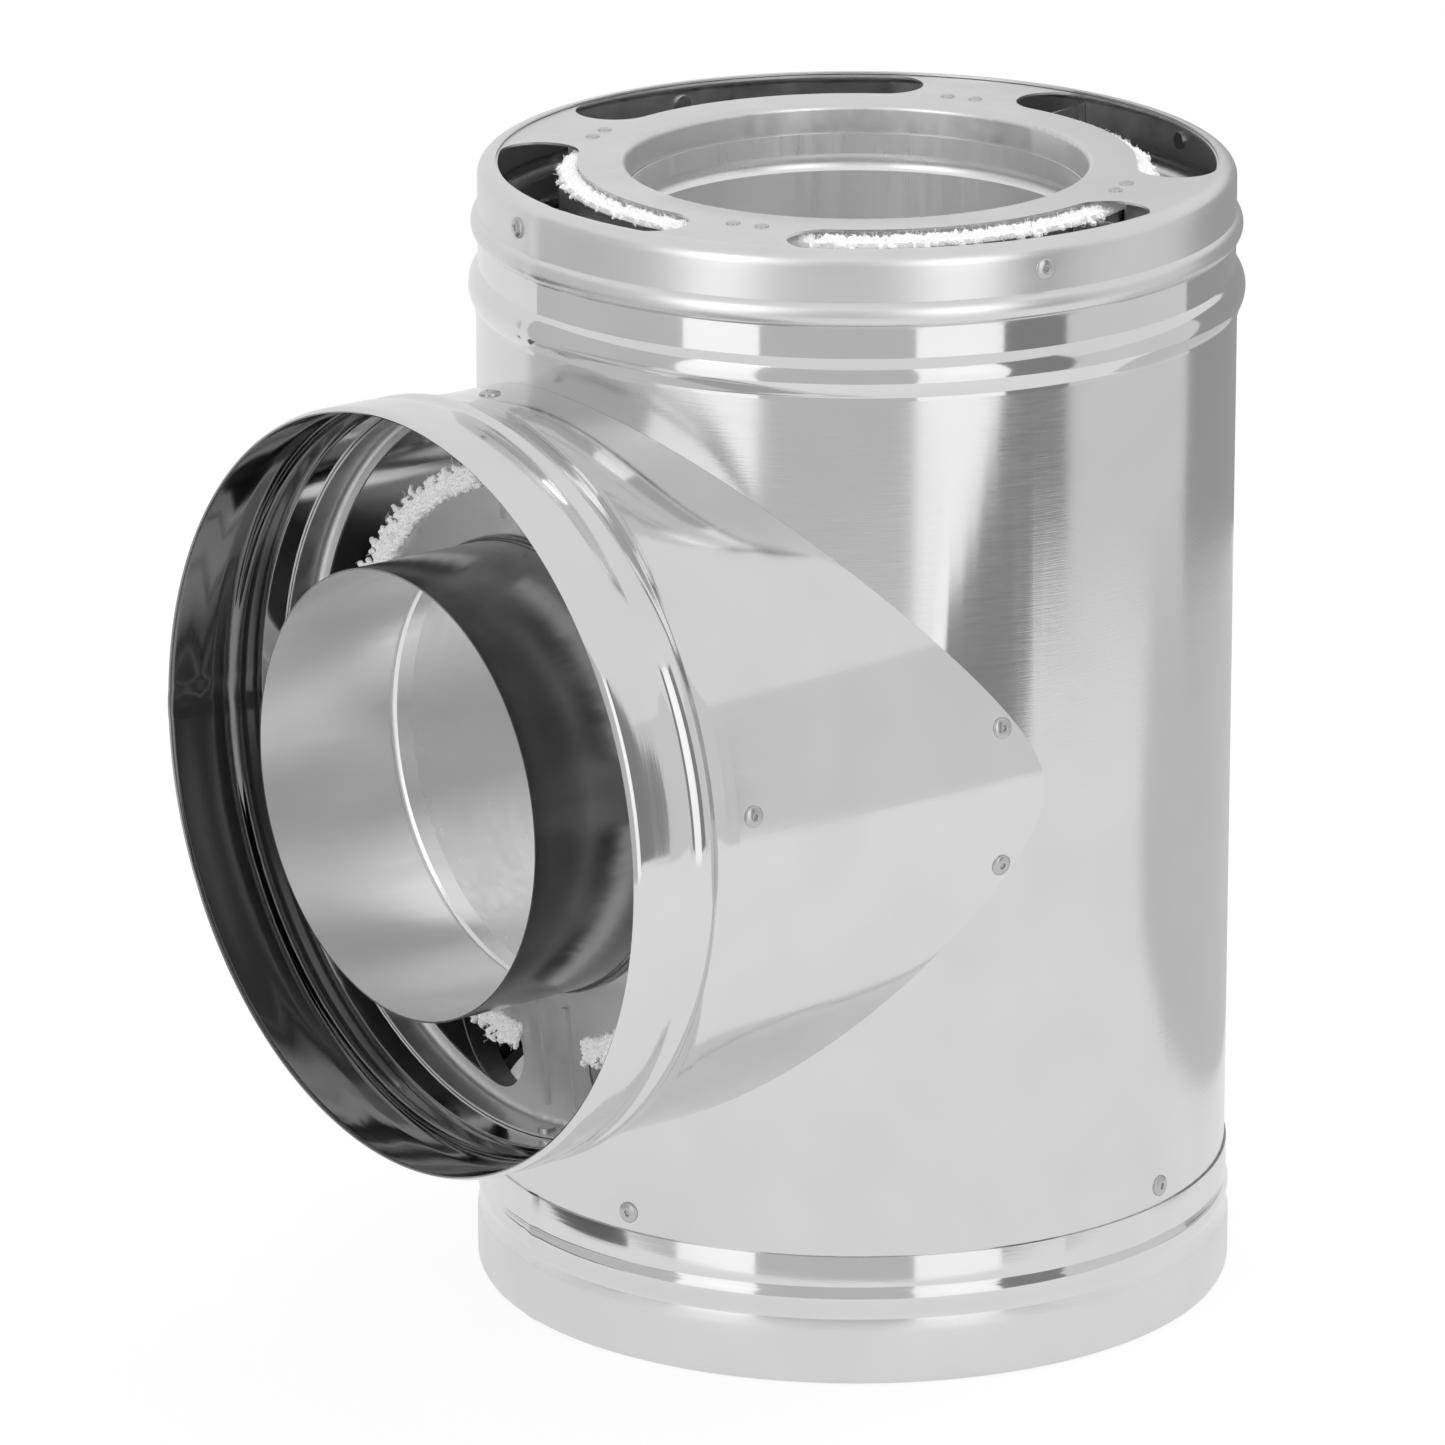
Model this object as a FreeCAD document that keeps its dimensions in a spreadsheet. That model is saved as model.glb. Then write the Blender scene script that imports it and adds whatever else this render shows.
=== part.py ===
import FreeCAD, Part
import math
import os
import Sketcher
from FreeCAD import Placement, Rotation, Vector

# Insulated stove pipe tee: a vertical run with a level branch, three walls deep.
# The origin is the middle of the bottom rim, +Z runs up the flue and the branch faces -Y.
# All lengths are in millimetres and all angles in degrees.

doc = FreeCAD.newDocument("stove_pipe_tee")
sheet = doc.addObject("Spreadsheet::Sheet", "Sizes")

DRIVING_SIZES = [
    ("liner_bore", 76.0, "inside radius of the flue liners"),
    ("wool_room", 23.0, "flue bore to the outside of the middle wall"),
    ("vent_room", 28.0, "outside of the middle wall to the outside of the casing"),
    ("branch_foot", 76.8, "bottom rim to the underside of the branch"),
    ("branch_head", 59.4, "top of the branch to the top rim"),
    ("branch_stand_off", 66.5, "outside of the run's casing to the branch mouth"),
    ("branch_step", 1.8, "run's casing to the branch's, which is a little smaller"),
    ("wall", 0.6, "sheet of the casings, bands and liners"),
    ("plate", 0.8, "sheet of the end plates"),
    ("hem_gap", 0.1, "between a band and the casing that it grips"),
    ("seat_gap", 0.2, "between formed pieces that nest"),
    ("slip_gap", 0.3, "between a pipe end and the socket that takes it"),
    ("ring_step", 0.6, "casing to the top ring, which the next pipe grips"),
    ("ring_drop", 16.4, "top rim to the crease under the ring"),
    ("rim_bend", 5.0, "outer bend of the top rim"),
    ("rim_lip", 1.2, "flat of the rim beyond its bend"),
    ("stop_bead_span", 8.4, "upper bead on the top band, along the pipe"),
    ("stop_bead_rise", 2.3, "upper bead on the top band, outwards"),
    ("valley_length", 10.3, "flat between the two top beads"),
    ("flare_length", 1.3, "cone from the flat to the lower bead"),
    ("hem_bead_span", 11.4, "lower bead on the top band, along the pipe"),
    ("hem_bead_rise", 2.0, "lower bead on the top band, outwards"),
    ("top_hem_length", 1.3, "plain edge of the top band"),
    ("casing_tuck", 5.0, "casing's end inside the lower bead"),
    ("mouth_step", 0.5, "casing to a skirt at its mouth, outwards"),
    ("skirt_step", 1.7, "casing to a skirt past its rounded mouth, outwards"),
    ("mouth_curl", 3.0, "length of the rounded mouth"),
    ("mouth_curl_radius", 4.0, "round of the mouth"),
    ("skirt_length", 19.0, "mouth to the end of the straight skirt"),
    ("crease_station", 24.6, "mouth to the crease"),
    ("crease_step", 0.5, "casing to the crease, outwards"),
    ("crease_bead_span", 8.0, "bead past the crease, along the pipe"),
    ("crease_bead_rise", 1.0, "bead past the crease, outwards"),
    ("band_length", 44.5, "mouth to the band's other edge"),
    ("hem_cone", 3.0, "cone from the bead to the hem"),
    ("casing_inset", 37.0, "mouth to the casing's edge under the band"),
    ("plate_station", 57.0, "mouth to the face of the end plate"),
    ("flange_length", 11.0, "turned edge of an end plate"),
    ("plate_bend", 3.8, "outer bend of a lower end plate"),
    ("top_plate_bend", 4.2, "outer bend of the top plate"),
    ("throat_bend", 2.0, "bend of the top plate into the throat"),
    ("throat_depth", 15.6, "top rim to the edge of the throat flange"),
    ("top_flange_drop", 14.0, "top rim to the edge of the top plate's flange"),
    ("slot_inner_step", 6.0, "middle wall to the inner side of the vent slots"),
    ("slot_outer_step", 7.5, "casing to the outer side of the vent slots"),
    ("arm_width", 37.0, "plate between two slots, at mid slot"),
    ("arm_count", 4, "arms and slots on each end plate"),
    ("top_arm_angle", 28.7, "first arm of the top plate, from +X"),
    ("bottom_arm_angle", 15.0, "first arm of the bottom plate"),
    ("branch_arm_angle", -6.6, "first arm of the branch plate"),
    ("rib_width", 3.0, "raised rib on an arm"),
    ("rib_height", 1.2, "raised rib on an arm"),
    ("rib_spacing", 15.0, "between the two ribs of an arm"),
    ("rib_start_step", 11.0, "inner side of the slots to the start of a rib"),
    ("rib_end_step", 2.5, "outer side of the slots to the end of a rib"),
    ("spigot_tip_inset", 0.5, "mouth to the tip of the spigot"),
    ("spigot_length", 62.5, "spigot, tip to inner end"),
    ("spigot_bead_span", 3.2, "stop bead on the spigot, along the pipe"),
    ("spigot_bead_rise", 1.2, "stop bead on the spigot, outwards"),
    ("liner_top_drop", 10.6, "top rim to the liner's top edge"),
    ("liner_bead_drop", 17.6, "top rim to the upper side of the liner's bead"),
    ("liner_bead_span", 6.0, "bead in the liner, along the pipe"),
    ("liner_bead_rise", 1.2, "bead in the liner, outwards"),
    ("liner_port_lip", 2.0, "liner's bore less the port for the branch"),
    ("branch_mid_step", 1.5, "middle wall of the run to the branch's"),
    ("mid_wall_drop", 5.6, "top rim to the middle wall's edge"),
    ("wool_drop", 4.1, "top rim to the top of the wool"),
    ("wool_step_drop", 24.3, "top rim to the step that clears the liner's bead"),
    ("wool_relief", 1.6, "liner to wool above the step"),
    ("port_lip_reach", 8.0, "drawn lip of the casing round the branch"),
    ("saddle_gap", 0.05, "branch edge to the wall that it lands on"),
    ("seam_angle", 160.0, "lock seam of the run's casing, from +X"),
    ("seam_width", 12.0, "lock seam across"),
    ("branch_seam_angle", 180.0, "lock seam of the branch's casing"),
    ("rivet_shank", 2.0, "radius of a rivet's shank"),
    ("rivet_head", 3.6, "radius of a rivet's head"),
    ("rivet_crown", 2.2, "radius of the flat crown of a rivet's head"),
    ("rivet_head_height", 1.3, "rise of a rivet's head"),
    ("rivet_dimple", 1.3, "radius of the dimple in a rivet's head"),
    ("rivet_dimple_depth", 0.7, "depth of the dimple"),
    ("rivet_tail", 2.9, "radius of a rivet's tail"),
    ("rivet_tail_height", 1.0, "height of a rivet's tail"),
    ("rivet_hole_gap", 0.15, "round a rivet's shank"),
    ("tail_gap", 0.05, "flat tail of a rivet to the curved sheet under it"),
    ("top_rivet_drop", 8.8, "top rim to the ring rivets"),
    ("top_rivet_angle", -10.4, "first rivet of the top ring"),
    ("ring_rivet_count", 4, "rivets round each end"),
    ("end_rivet_station", 51.0, "mouth to the rivets of a lower end"),
    ("saddle_rivet_margin", 6.3, "run's casing to the saddle rivets, along the branch"),
    ("saddle_rivet_angle", 10.8, "saddle rivets above and below the branch's middle"),
    ("arm_rivet_shank", 1.5, "radius of an arm rivet's shank"),
    ("arm_rivet_head", 2.4, "radius of an arm rivet's head"),
    ("arm_rivet_height", 0.7, "rise of an arm rivet's head"),
    ("arm_rivet_step", 0.8, "inner side of the slots to the arm rivets"),
    ("arm_rivet_spacing", 10.0, "between the two rivets of an arm"),
    ("clip_width", 22.0, "clip across"),
    ("clip_inner_step", 11.0, "middle wall to the start of a clip's flat leg"),
    ("clip_drop", 20.0, "top rim to a clip's lower edge"),
    ("clip_bend", 1.0, "inner bend of a clip"),
    ("spacer_angle", 12.6, "first spacer fin, from +X"),
    ("spacer_drop", 36.0, "top rim to a fin's lower edge"),
    ("spacer_foot", 12.0, "foot of a fin along the middle wall"),
]
for row, (alias, value, note) in enumerate(DRIVING_SIZES, start=1):
    sheet.set(f"A{row}", alias)
    sheet.set(f"B{row}", str(value))
    sheet.setAlias(f"B{row}", alias)
    sheet.set(f"C{row}", note)
doc.recompute()


class Size:
    """A length or angle together with the sheet formula that it comes from."""

    def __init__(self, value, formula):
        self.value = float(value)
        self.formula = formula

    def __add__(self, other):
        other = as_size(other)
        return Size(self.value + other.value, f"({self.formula} + {other.formula})")

    def __sub__(self, other):
        other = as_size(other)
        return Size(self.value - other.value, f"({self.formula} - {other.formula})")

    def __mul__(self, other):
        other = as_size(other)
        return Size(self.value * other.value, f"({self.formula} * {other.formula})")

    def __truediv__(self, other):
        other = as_size(other)
        return Size(self.value / other.value, f"({self.formula} / {other.formula})")

    def __neg__(self):
        return Size(-self.value, f"(0 - {self.formula})")

    def __rsub__(self, other):
        return as_size(other) - self

    __radd__ = __add__
    __rmul__ = __mul__


def as_size(number):
    return number if isinstance(number, Size) else Size(number, repr(float(number)))


def cosine(angle):
    return Size(math.cos(math.radians(angle.value)), f"cos({angle.formula} * 1 deg)")


def sine(angle):
    return Size(math.sin(math.radians(angle.value)), f"sin({angle.formula} * 1 deg)")


class SheetSizes:
    """The driving sizes, read by name from the sheet."""

    def __getattr__(self, alias):
        return Size(sheet.get(alias), f"Sizes.{alias}")


def square_root(number):
    return Size(math.sqrt(number.value), f"sqrt({number.formula})")


size = SheetSizes()

# The flue's bore comes first, as it does in the trade. The other radii are steps from it,
# and the heights and the branch's reach follow from the radii.

size.mid_wall_radius = size.liner_bore + size.wool_room
size.casing_radius = size.mid_wall_radius + size.vent_room
size.branch_radius = size.casing_radius - size.branch_step
size.branch_mid_wall_radius = size.mid_wall_radius - size.branch_mid_step
size.branch_height = size.branch_foot + size.branch_radius
size.total_height = size.branch_height + size.branch_radius + size.branch_head
size.branch_reach = size.casing_radius + size.branch_stand_off
size.ring_radius = size.casing_radius - size.ring_step
size.mouth_radius = size.casing_radius + size.mouth_step
size.skirt_radius = size.casing_radius + size.skirt_step
size.crease_radius = size.casing_radius + size.crease_step
size.slot_inner_radius = size.mid_wall_radius - size.slot_inner_step
size.slot_outer_radius = size.casing_radius - size.slot_outer_step
size.rib_start = size.slot_inner_radius - size.rib_start_step
size.rib_end = size.slot_outer_radius - size.rib_end_step
size.arm_rivet_radius = size.slot_inner_radius + size.arm_rivet_step
size.clip_inner_reach = size.mid_wall_radius - size.clip_inner_step
saddle_half_width = size.branch_radius * cosine(size.saddle_rivet_angle)
size.saddle_rivet_reach = size.saddle_rivet_margin + square_root(
    size.casing_radius * size.casing_radius - saddle_half_width * saddle_half_width)

# Radii and heights that follow from the driving sizes

casing_inner = size.casing_radius - size.wall
branch_inner = size.branch_radius - size.wall
ring_inner = size.ring_radius - size.wall
hem_radius = size.casing_radius + size.hem_gap + size.wall
branch_hem_radius = size.branch_radius + size.hem_gap + size.wall
lip_outer = branch_inner - size.hem_gap
lip_inner = lip_outer - size.wall
liner_outer = size.liner_bore + size.wall
port_radius = size.liner_bore - size.liner_port_lip
throat_radius = liner_outer + size.slip_gap
spigot_radius = size.liner_bore - size.slip_gap
mid_wall_inner = size.mid_wall_radius - size.wall
branch_mid_inner = size.branch_mid_wall_radius - size.wall
wool_inner = liner_outer + size.slip_gap
wool_outer = mid_wall_inner - size.slip_gap
branch_wool_outer = branch_mid_inner - size.seat_gap
plate_top = size.total_height - size.wall - size.seat_gap
plate_under = plate_top - size.plate
plate_back = size.plate_station + size.plate
inner_start = plate_back + size.slip_gap
liner_top = size.total_height - size.liner_top_drop
rim_start = size.ring_radius - size.rim_bend
rim_edge = rim_start - size.rim_lip
bend_bottom = size.total_height - size.rim_bend
stop_top = size.total_height - size.ring_drop
stop_bottom = stop_top - size.stop_bead_span
valley_bottom = stop_bottom - size.valley_length
hem_bead_top = valley_bottom - size.flare_length
hem_bead_bottom = hem_bead_top - size.hem_bead_span
top_band_edge = hem_bead_bottom - size.top_hem_length
slot_middle = (size.slot_inner_radius + size.slot_outer_radius) / 2
slot_half_width = (size.slot_outer_radius - size.slot_inner_radius) / 2
DEGREES_PER_RADIAN = 180 / math.pi
HALF_TURN = as_size(180)
slot_sweep = HALF_TURN / size.arm_count - (
    (size.arm_width / 2 + slot_half_width) / slot_middle * DEGREES_PER_RADIAN)

# The run stands on its mouth. The branch frame has its mouth in the plane z = 0 too,
# with +z pointing back into the pipe, so both lower ends are made by the same functions.

RUN = "run"
BRANCH = "branch"
TURN = {RUN: Rotation(), BRANCH: Rotation(Vector(1, 0, 0), -90)}


def bind(piece, name, amount):
    piece.setExpression(name, as_size(amount).formula)


def put(piece, frame, station=0):
    """Stand a piece in its frame, a distance along the pipe from the mouth."""
    piece.Placement = Placement(Vector(), TURN[frame])
    if frame == RUN:
        bind(piece, "Placement.Base.z", station)
    else:
        bind(piece, "Placement.Base.y", as_size(station) - size.branch_reach)
        bind(piece, "Placement.Base.z", size.branch_height)


def cylinder(name, radius, length, frame, station=0):
    piece = doc.addObject("Part::Cylinder", name)
    bind(piece, "Radius", radius)
    bind(piece, "Height", length)
    put(piece, frame, station)
    return piece


def cut(name, base, tool):
    piece = doc.addObject("Part::Cut", name)
    piece.Base = base
    piece.Tool = tool
    return piece


def fuse(name, *pieces):
    piece = doc.addObject("Part::MultiFuse", name)
    piece.Shapes = list(pieces)
    return piece


def tube(name, outer, inner, length, frame, station=0):
    solid = cylinder(name + "_outside", outer, length, frame, station)
    hollow = cylinder(name + "_inside", inner, length, frame, station)
    return cut(name, solid, hollow)


def new_body(name, frame, station=0):
    body = doc.addObject("PartDesign::Body", name)
    body.AllowCompound = True
    put(body, frame, station)
    return body


def origin_part(body, role):
    return next(part for part in body.Origin.OriginFeatures if part.Role == role)


def new_sketch(body, name, plane):
    sketch = body.newObject("Sketcher::SketchObject", name)
    sketch.AttachmentSupport = [(origin_part(body, plane), "")]
    sketch.MapMode = "FlatFace"
    return sketch


def constrain(sketch, kind, *parts, amount=None):
    """Add a constraint, and tie its value to the sheet where it has one."""
    if amount is None:
        return sketch.addConstraint(Sketcher.Constraint(kind, *parts))
    index = sketch.addConstraint(Sketcher.Constraint(kind, *parts, amount.value))
    sketch.setExpression(f"Constraints[{index}]", amount.formula)
    return index


START, END, CENTRE = 1, 2, 3
ORIGIN = (-1, 1)
H_AXIS = -1


def line(sketch, first, last):
    a = Vector(first[0].value, first[1].value, 0)
    b = Vector(last[0].value, last[1].value, 0)
    return sketch.addGeometry(Part.LineSegment(a, b)), START, END


def arc(sketch, first, last, radius, side):
    """An arc under half a turn, with its centre left (1) or right (-1) of the way it runs."""
    a = Vector(first[0].value, first[1].value, 0)
    b = Vector(last[0].value, last[1].value, 0)
    chord = b - a
    rise = math.sqrt(max(radius.value ** 2 - chord.Length ** 2 / 4, 0))
    left = Vector(-chord.y, chord.x, 0).normalize()
    centre = (a + b) * 0.5 + left * rise * side
    ends = (a, b) if side > 0 else (b, a)
    start, stop = [math.atan2(end.y - centre.y, end.x - centre.x) for end in ends]
    circle = Part.Circle(centre, Vector(0, 0, 1), radius.value)
    index = sketch.addGeometry(Part.ArcOfCircle(circle, start, stop))
    constrain(sketch, "Radius", index, amount=radius)
    return (index, START, END) if side > 0 else (index, END, START)


def outline(sketch, corners):
    """A closed outline. A corner is (x, y), or (x, y, radius, side) where an arc leaves it."""
    corners = [tuple(as_size(part) for part in corner[:3]) + corner[3:] for corner in corners]
    edges = []
    for corner, following in zip(corners, corners[1:] + corners[:1]):
        if len(corner) == 2:
            edges.append(line(sketch, corner, following))
        else:
            edges.append(arc(sketch, corner, following, corner[2], corner[3]))
    for edge, following in zip(edges, edges[1:] + edges[:1]):
        constrain(sketch, "Coincident", edge[0], edge[2], following[0], following[1])
    for corner, (index, start, _) in zip(corners, edges):
        constrain(sketch, "DistanceX", *ORIGIN, index, start, amount=corner[0])
        if corner[1].formula == "0.0":
            constrain(sketch, "PointOnObject", index, start, H_AXIS)
        else:
            constrain(sketch, "DistanceY", *ORIGIN, index, start, amount=corner[1])


def rectangle(sketch, left, low, right, high):
    outline(sketch, [(left, low), (right, low), (right, high), (left, high)])


def sheet_outline(path, thickness):
    """Close the outline of a sheet from its outer path, a wall's thickness further in."""
    back = []
    for index in range(len(path) - 1, -1, -1):
        corner = (path[index][0] - thickness, path[index][1])
        if index > 0 and len(path[index - 1]) == 4:
            corner += (path[index - 1][2], -path[index - 1][3])
        back.append(corner)
    ahead = [corner if index < len(path) - 1 else corner[:2] for index, corner in enumerate(path)]
    return ahead + back


def bead_round(span, rise):
    """Radius of a bead whose section is one arc."""
    half = span / 2
    return (half * half + rise * rise) / (rise * 2)


def revolve(body, name, corners):
    sketch = new_sketch(body, name + "_outline", "XZ_Plane")
    outline(sketch, corners)
    turned = body.newObject("PartDesign::Revolution", name)
    turned.Profile = sketch
    turned.ReferenceAxis = (sketch, ["V_Axis"])
    turned.Angle = 360
    body.Tip = turned
    return turned


def around(body, name, features, count):
    """Repeat features evenly about the pipe's axis."""
    pattern = body.newObject("PartDesign::PolarPattern", name)
    pattern.Originals = features
    pattern.Axis = (origin_part(body, "Z_Axis"), [""])
    pattern.Angle = 360
    bind(pattern, "Occurrences", count)
    body.Tip = pattern
    return pattern


def turned_sketch(body, name, plane, angle, station, upright):
    """A sketch turned about the pipe's axis and moved along it."""
    sketch = new_sketch(body, name, plane)
    if upright:
        sketch.AttachmentOffset = Placement(Vector(), Rotation(Vector(0, 1, 0), 1))
        bind(sketch, "AttachmentOffset.Base.y", station)
    else:
        sketch.AttachmentOffset = Placement(Vector(), Rotation(Vector(0, 0, 1), 1))
        bind(sketch, "AttachmentOffset.Base.z", station)
    bind(sketch, "AttachmentOffset.Rotation.Angle", angle)
    return sketch


# Rivets and their holes

def rivet_ring(name, frame, station, angle, count, outside, grip):
    """Rivets round a pipe: a dimpled head outside, a shank and a flat tail inside."""
    body = new_body(name, frame)
    sketch = turned_sketch(body, name + "_outline", "XZ_Plane", angle, station, True)
    inside = outside - grip - size.tail_gap
    tail_end = inside - size.rivet_tail_height
    head_top = outside + size.rivet_head_height
    dimple_floor = head_top - size.rivet_dimple_depth
    outline(sketch, [
        (tail_end, 0), (dimple_floor, 0), (dimple_floor, size.rivet_dimple / 2),
        (head_top, size.rivet_dimple),
        (head_top, size.rivet_crown), (outside, size.rivet_head),
        (outside, size.rivet_shank), (inside, size.rivet_shank),
        (inside, size.rivet_tail), (tail_end, size.rivet_tail)])
    turned = body.newObject("PartDesign::Revolution", name + "_rivet")
    turned.Profile = sketch
    turned.ReferenceAxis = (sketch, ["H_Axis"])
    turned.Angle = 360
    body.Tip = turned
    around(body, name + "_ring", [turned], count)
    return body


def radial_holes(name, frame, station, angle, count, far, near):
    """Cutters for the rivets of a ring."""
    body = new_body(name, frame)
    sketch = turned_sketch(body, name + "_circle", "YZ_Plane", angle, station, True)
    circle = Part.Circle(Vector(), Vector(0, 0, 1), size.rivet_shank.value)
    index = sketch.addGeometry(circle)
    constrain(sketch, "Coincident", index, CENTRE, *ORIGIN)
    constrain(sketch, "Radius", index, amount=size.rivet_shank + size.rivet_hole_gap)
    bind(sketch, "AttachmentOffset.Base.x", near * sine(angle))
    bind(sketch, "AttachmentOffset.Base.z", near * cosine(angle))
    pad = body.newObject("PartDesign::Pad", name + "_pin")
    pad.Profile = sketch
    bind(pad, "Length", far - near)
    body.Tip = pad
    around(body, name + "_ring", [pad], count)
    return body


HOLE_MARGIN = 3


# Casing of the run, with its lock seam, the drawn lip of its port and its rivet holes

casing_length = hem_bead_top - size.casing_tuck - size.casing_inset

run_tube = tube("run_tube", size.casing_radius, casing_inner, casing_length, RUN,
                size.casing_inset)


def lock_seam(name, frame, radius, angle, length):
    """A folded seam that stands one sheet proud along the pipe, from the band's edge on."""
    body = new_body(name, frame)
    sketch = turned_sketch(body, name + "_outline", "XY_Plane", angle,
                           size.band_length + size.seat_gap, False)
    rectangle(sketch, radius - size.wall / 2, -size.seam_width / 2,
              radius + size.wall, size.seam_width / 2)
    pad = body.newObject("PartDesign::Pad", name + "_fold")
    pad.Profile = sketch
    bind(pad, "Length", length)
    body.Tip = pad
    return body


run_seam = lock_seam("run_seam", RUN, size.casing_radius, size.seam_angle,
                     top_band_edge - size.band_length - size.seat_gap * 2)

port_cutter = cylinder("port_cutter", lip_inner, size.branch_reach, BRANCH)
lip_tube = tube("lip_tube", lip_outer, lip_inner, size.branch_reach, BRANCH)
lip_reach = cylinder("lip_reach", size.casing_radius + size.port_lip_reach,
                     size.total_height, RUN)
lip_core = cylinder("lip_core", casing_inner, size.total_height, RUN)
lip_band = doc.addObject("Part::Common", "lip_band")
lip_band.Base = lip_tube
lip_band.Tool = lip_reach
port_lip = cut("port_lip", lip_band, lip_core)
run_open = cut("run_open", fuse("run_seamed", run_tube, run_seam), port_cutter)
end_holes = radial_holes("end_holes", RUN, size.end_rivet_station, size.bottom_arm_angle,
                         size.ring_rivet_count, size.casing_radius + HOLE_MARGIN,
                         casing_inner - HOLE_MARGIN)


def saddle_pair(make, name, side, *spans):
    """Two rivets, or their holes, on one flank of the branch."""
    body = make(name, BRANCH, size.branch_reach - size.saddle_rivet_reach,
                side - size.saddle_rivet_angle, 2, *spans)
    ring = doc.getObject(name + "_ring")
    bind(ring, "Angle", size.saddle_rivet_angle * 2)
    return body


saddle_holes = fuse("saddle_holes", *[
    saddle_pair(radial_holes, f"saddle_holes_{flank}", as_size(side),
                size.branch_radius + HOLE_MARGIN, lip_inner - HOLE_MARGIN)
    for flank, side in (("right", 0), ("left", 180))])
casing_body = cut("casing_body", fuse("casing_shell", run_open, port_lip),
                  fuse("casing_holes", end_holes, saddle_holes))

# Casing of the branch, saddle-cut to the run

branch_tube = tube("branch_tube", size.branch_radius, branch_inner,
                   size.branch_reach - size.casing_inset, BRANCH, size.casing_inset)
saddle_cutter = cylinder("saddle_cutter", size.casing_radius + size.saddle_gap,
                         size.total_height, RUN)
branch_seam = lock_seam("branch_seam", BRANCH, size.branch_radius, size.branch_seam_angle,
                        size.branch_reach - size.band_length)
branch_end_holes = radial_holes(
    "branch_end_holes", BRANCH, size.end_rivet_station, size.branch_arm_angle,
    size.ring_rivet_count, size.branch_radius + HOLE_MARGIN, branch_inner - HOLE_MARGIN)
branch_seamed = fuse("branch_seamed", branch_tube, branch_seam)
branch_casing = cut("branch_casing", cut("branch_trimmed", branch_seamed, saddle_cutter),
                    fuse("branch_holes", branch_end_holes, saddle_holes))


# Bands rolled at the three ends

def skirt_band(name, frame, hem):
    """The belled skirt of a lower end: mouth, crease, bead and hem."""
    bead_end = size.crease_station + size.crease_bead_span
    path = [
        (size.mouth_radius, as_size(0), size.mouth_curl_radius, 1),
        (size.skirt_radius, size.mouth_curl),
        (size.skirt_radius, size.skirt_length),
        (size.crease_radius, size.crease_station,
         bead_round(size.crease_bead_span, size.crease_bead_rise), 1),
        (size.crease_radius, bead_end),
        (hem, bead_end + size.hem_cone),
        (hem, size.band_length),
    ]
    body = new_body(name, frame)
    revolve(body, name + "_sheet", sheet_outline(path, size.wall))
    return body


bottom_band = skirt_band("bottom_band", RUN, hem_radius)
branch_band = skirt_band("branch_band", BRANCH, branch_hem_radius)

stop_round = bead_round(size.stop_bead_span, size.stop_bead_rise)
hem_round = bead_round(size.hem_bead_span, size.hem_bead_rise)
hem_inner = hem_radius - size.wall

top_band = new_body("top_band", RUN)
top_rivet_height = size.total_height - size.top_rivet_drop
revolve(top_band, "top_band_sheet", [
    (rim_edge, size.total_height),
    (rim_start, size.total_height, size.rim_bend, -1),
    (size.ring_radius, bend_bottom),
    (size.ring_radius, stop_top, stop_round, -1),
    (size.ring_radius, stop_bottom),
    (size.ring_radius, valley_bottom),
    (hem_radius, hem_bead_top, hem_round, -1),
    (hem_radius, hem_bead_bottom),
    (hem_radius, top_band_edge),
    (hem_inner, top_band_edge),
    (hem_inner, hem_bead_bottom, hem_round, 1),
    (hem_inner, hem_bead_top),
    (ring_inner, valley_bottom),
    (ring_inner, stop_bottom, stop_round, 1),
    (ring_inner, stop_top),
    (ring_inner, bend_bottom, size.rim_bend - size.wall, 1),
    (rim_start, size.total_height - size.wall),
    (rim_edge, size.total_height - size.wall),
])


# Pressed end plates with kidney slots, ribbed arms and a turned flange

def pocket_through(body, name, sketch):
    """Cut a sketch right through the body, both ways."""
    pocket = body.newObject("PartDesign::Pocket", name)
    pocket.Profile = sketch
    pocket.Type = "ThroughAll"
    pocket.Midplane = True
    body.Tip = pocket
    return pocket


def vent_slots(body, name, angle, station):
    """Kidney slots between the arms: two arcs about the axis, closed by round ends."""
    middle = angle + HALF_TURN / size.arm_count
    sketch = turned_sketch(body, name + "_outline", "XY_Plane", middle, station, False)
    sweep = math.radians(slot_sweep.value)
    up = Vector(0, 0, 1)

    def big_arc(radius):
        circle = Part.Circle(Vector(), up, radius.value)
        index = sketch.addGeometry(Part.ArcOfCircle(circle, -sweep, sweep))
        constrain(sketch, "Coincident", index, CENTRE, *ORIGIN)
        constrain(sketch, "Radius", index, amount=radius)
        return index

    def cap(side):
        centre = Vector(math.cos(sweep), math.sin(sweep) * side, 0) * slot_middle.value
        first = sweep if side > 0 else math.pi - sweep
        circle = Part.Circle(centre, up, slot_half_width.value)
        index = sketch.addGeometry(Part.ArcOfCircle(circle, first, first + math.pi))
        constrain(sketch, "DistanceY", *ORIGIN, index, CENTRE,
                  amount=slot_middle * sine(slot_sweep) * side)
        return index

    outer = big_arc(size.slot_outer_radius)
    inner = big_arc(size.slot_inner_radius)
    upper = cap(1)
    lower = cap(-1)
    constrain(sketch, "Tangent", outer, END, upper, START)
    constrain(sketch, "Tangent", inner, END, upper, END)
    constrain(sketch, "Tangent", outer, START, lower, END)
    constrain(sketch, "Tangent", inner, START, lower, START)
    slot = pocket_through(body, name + "_slot", sketch)
    return around(body, name + "_slots", [slot], size.arm_count)


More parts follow.
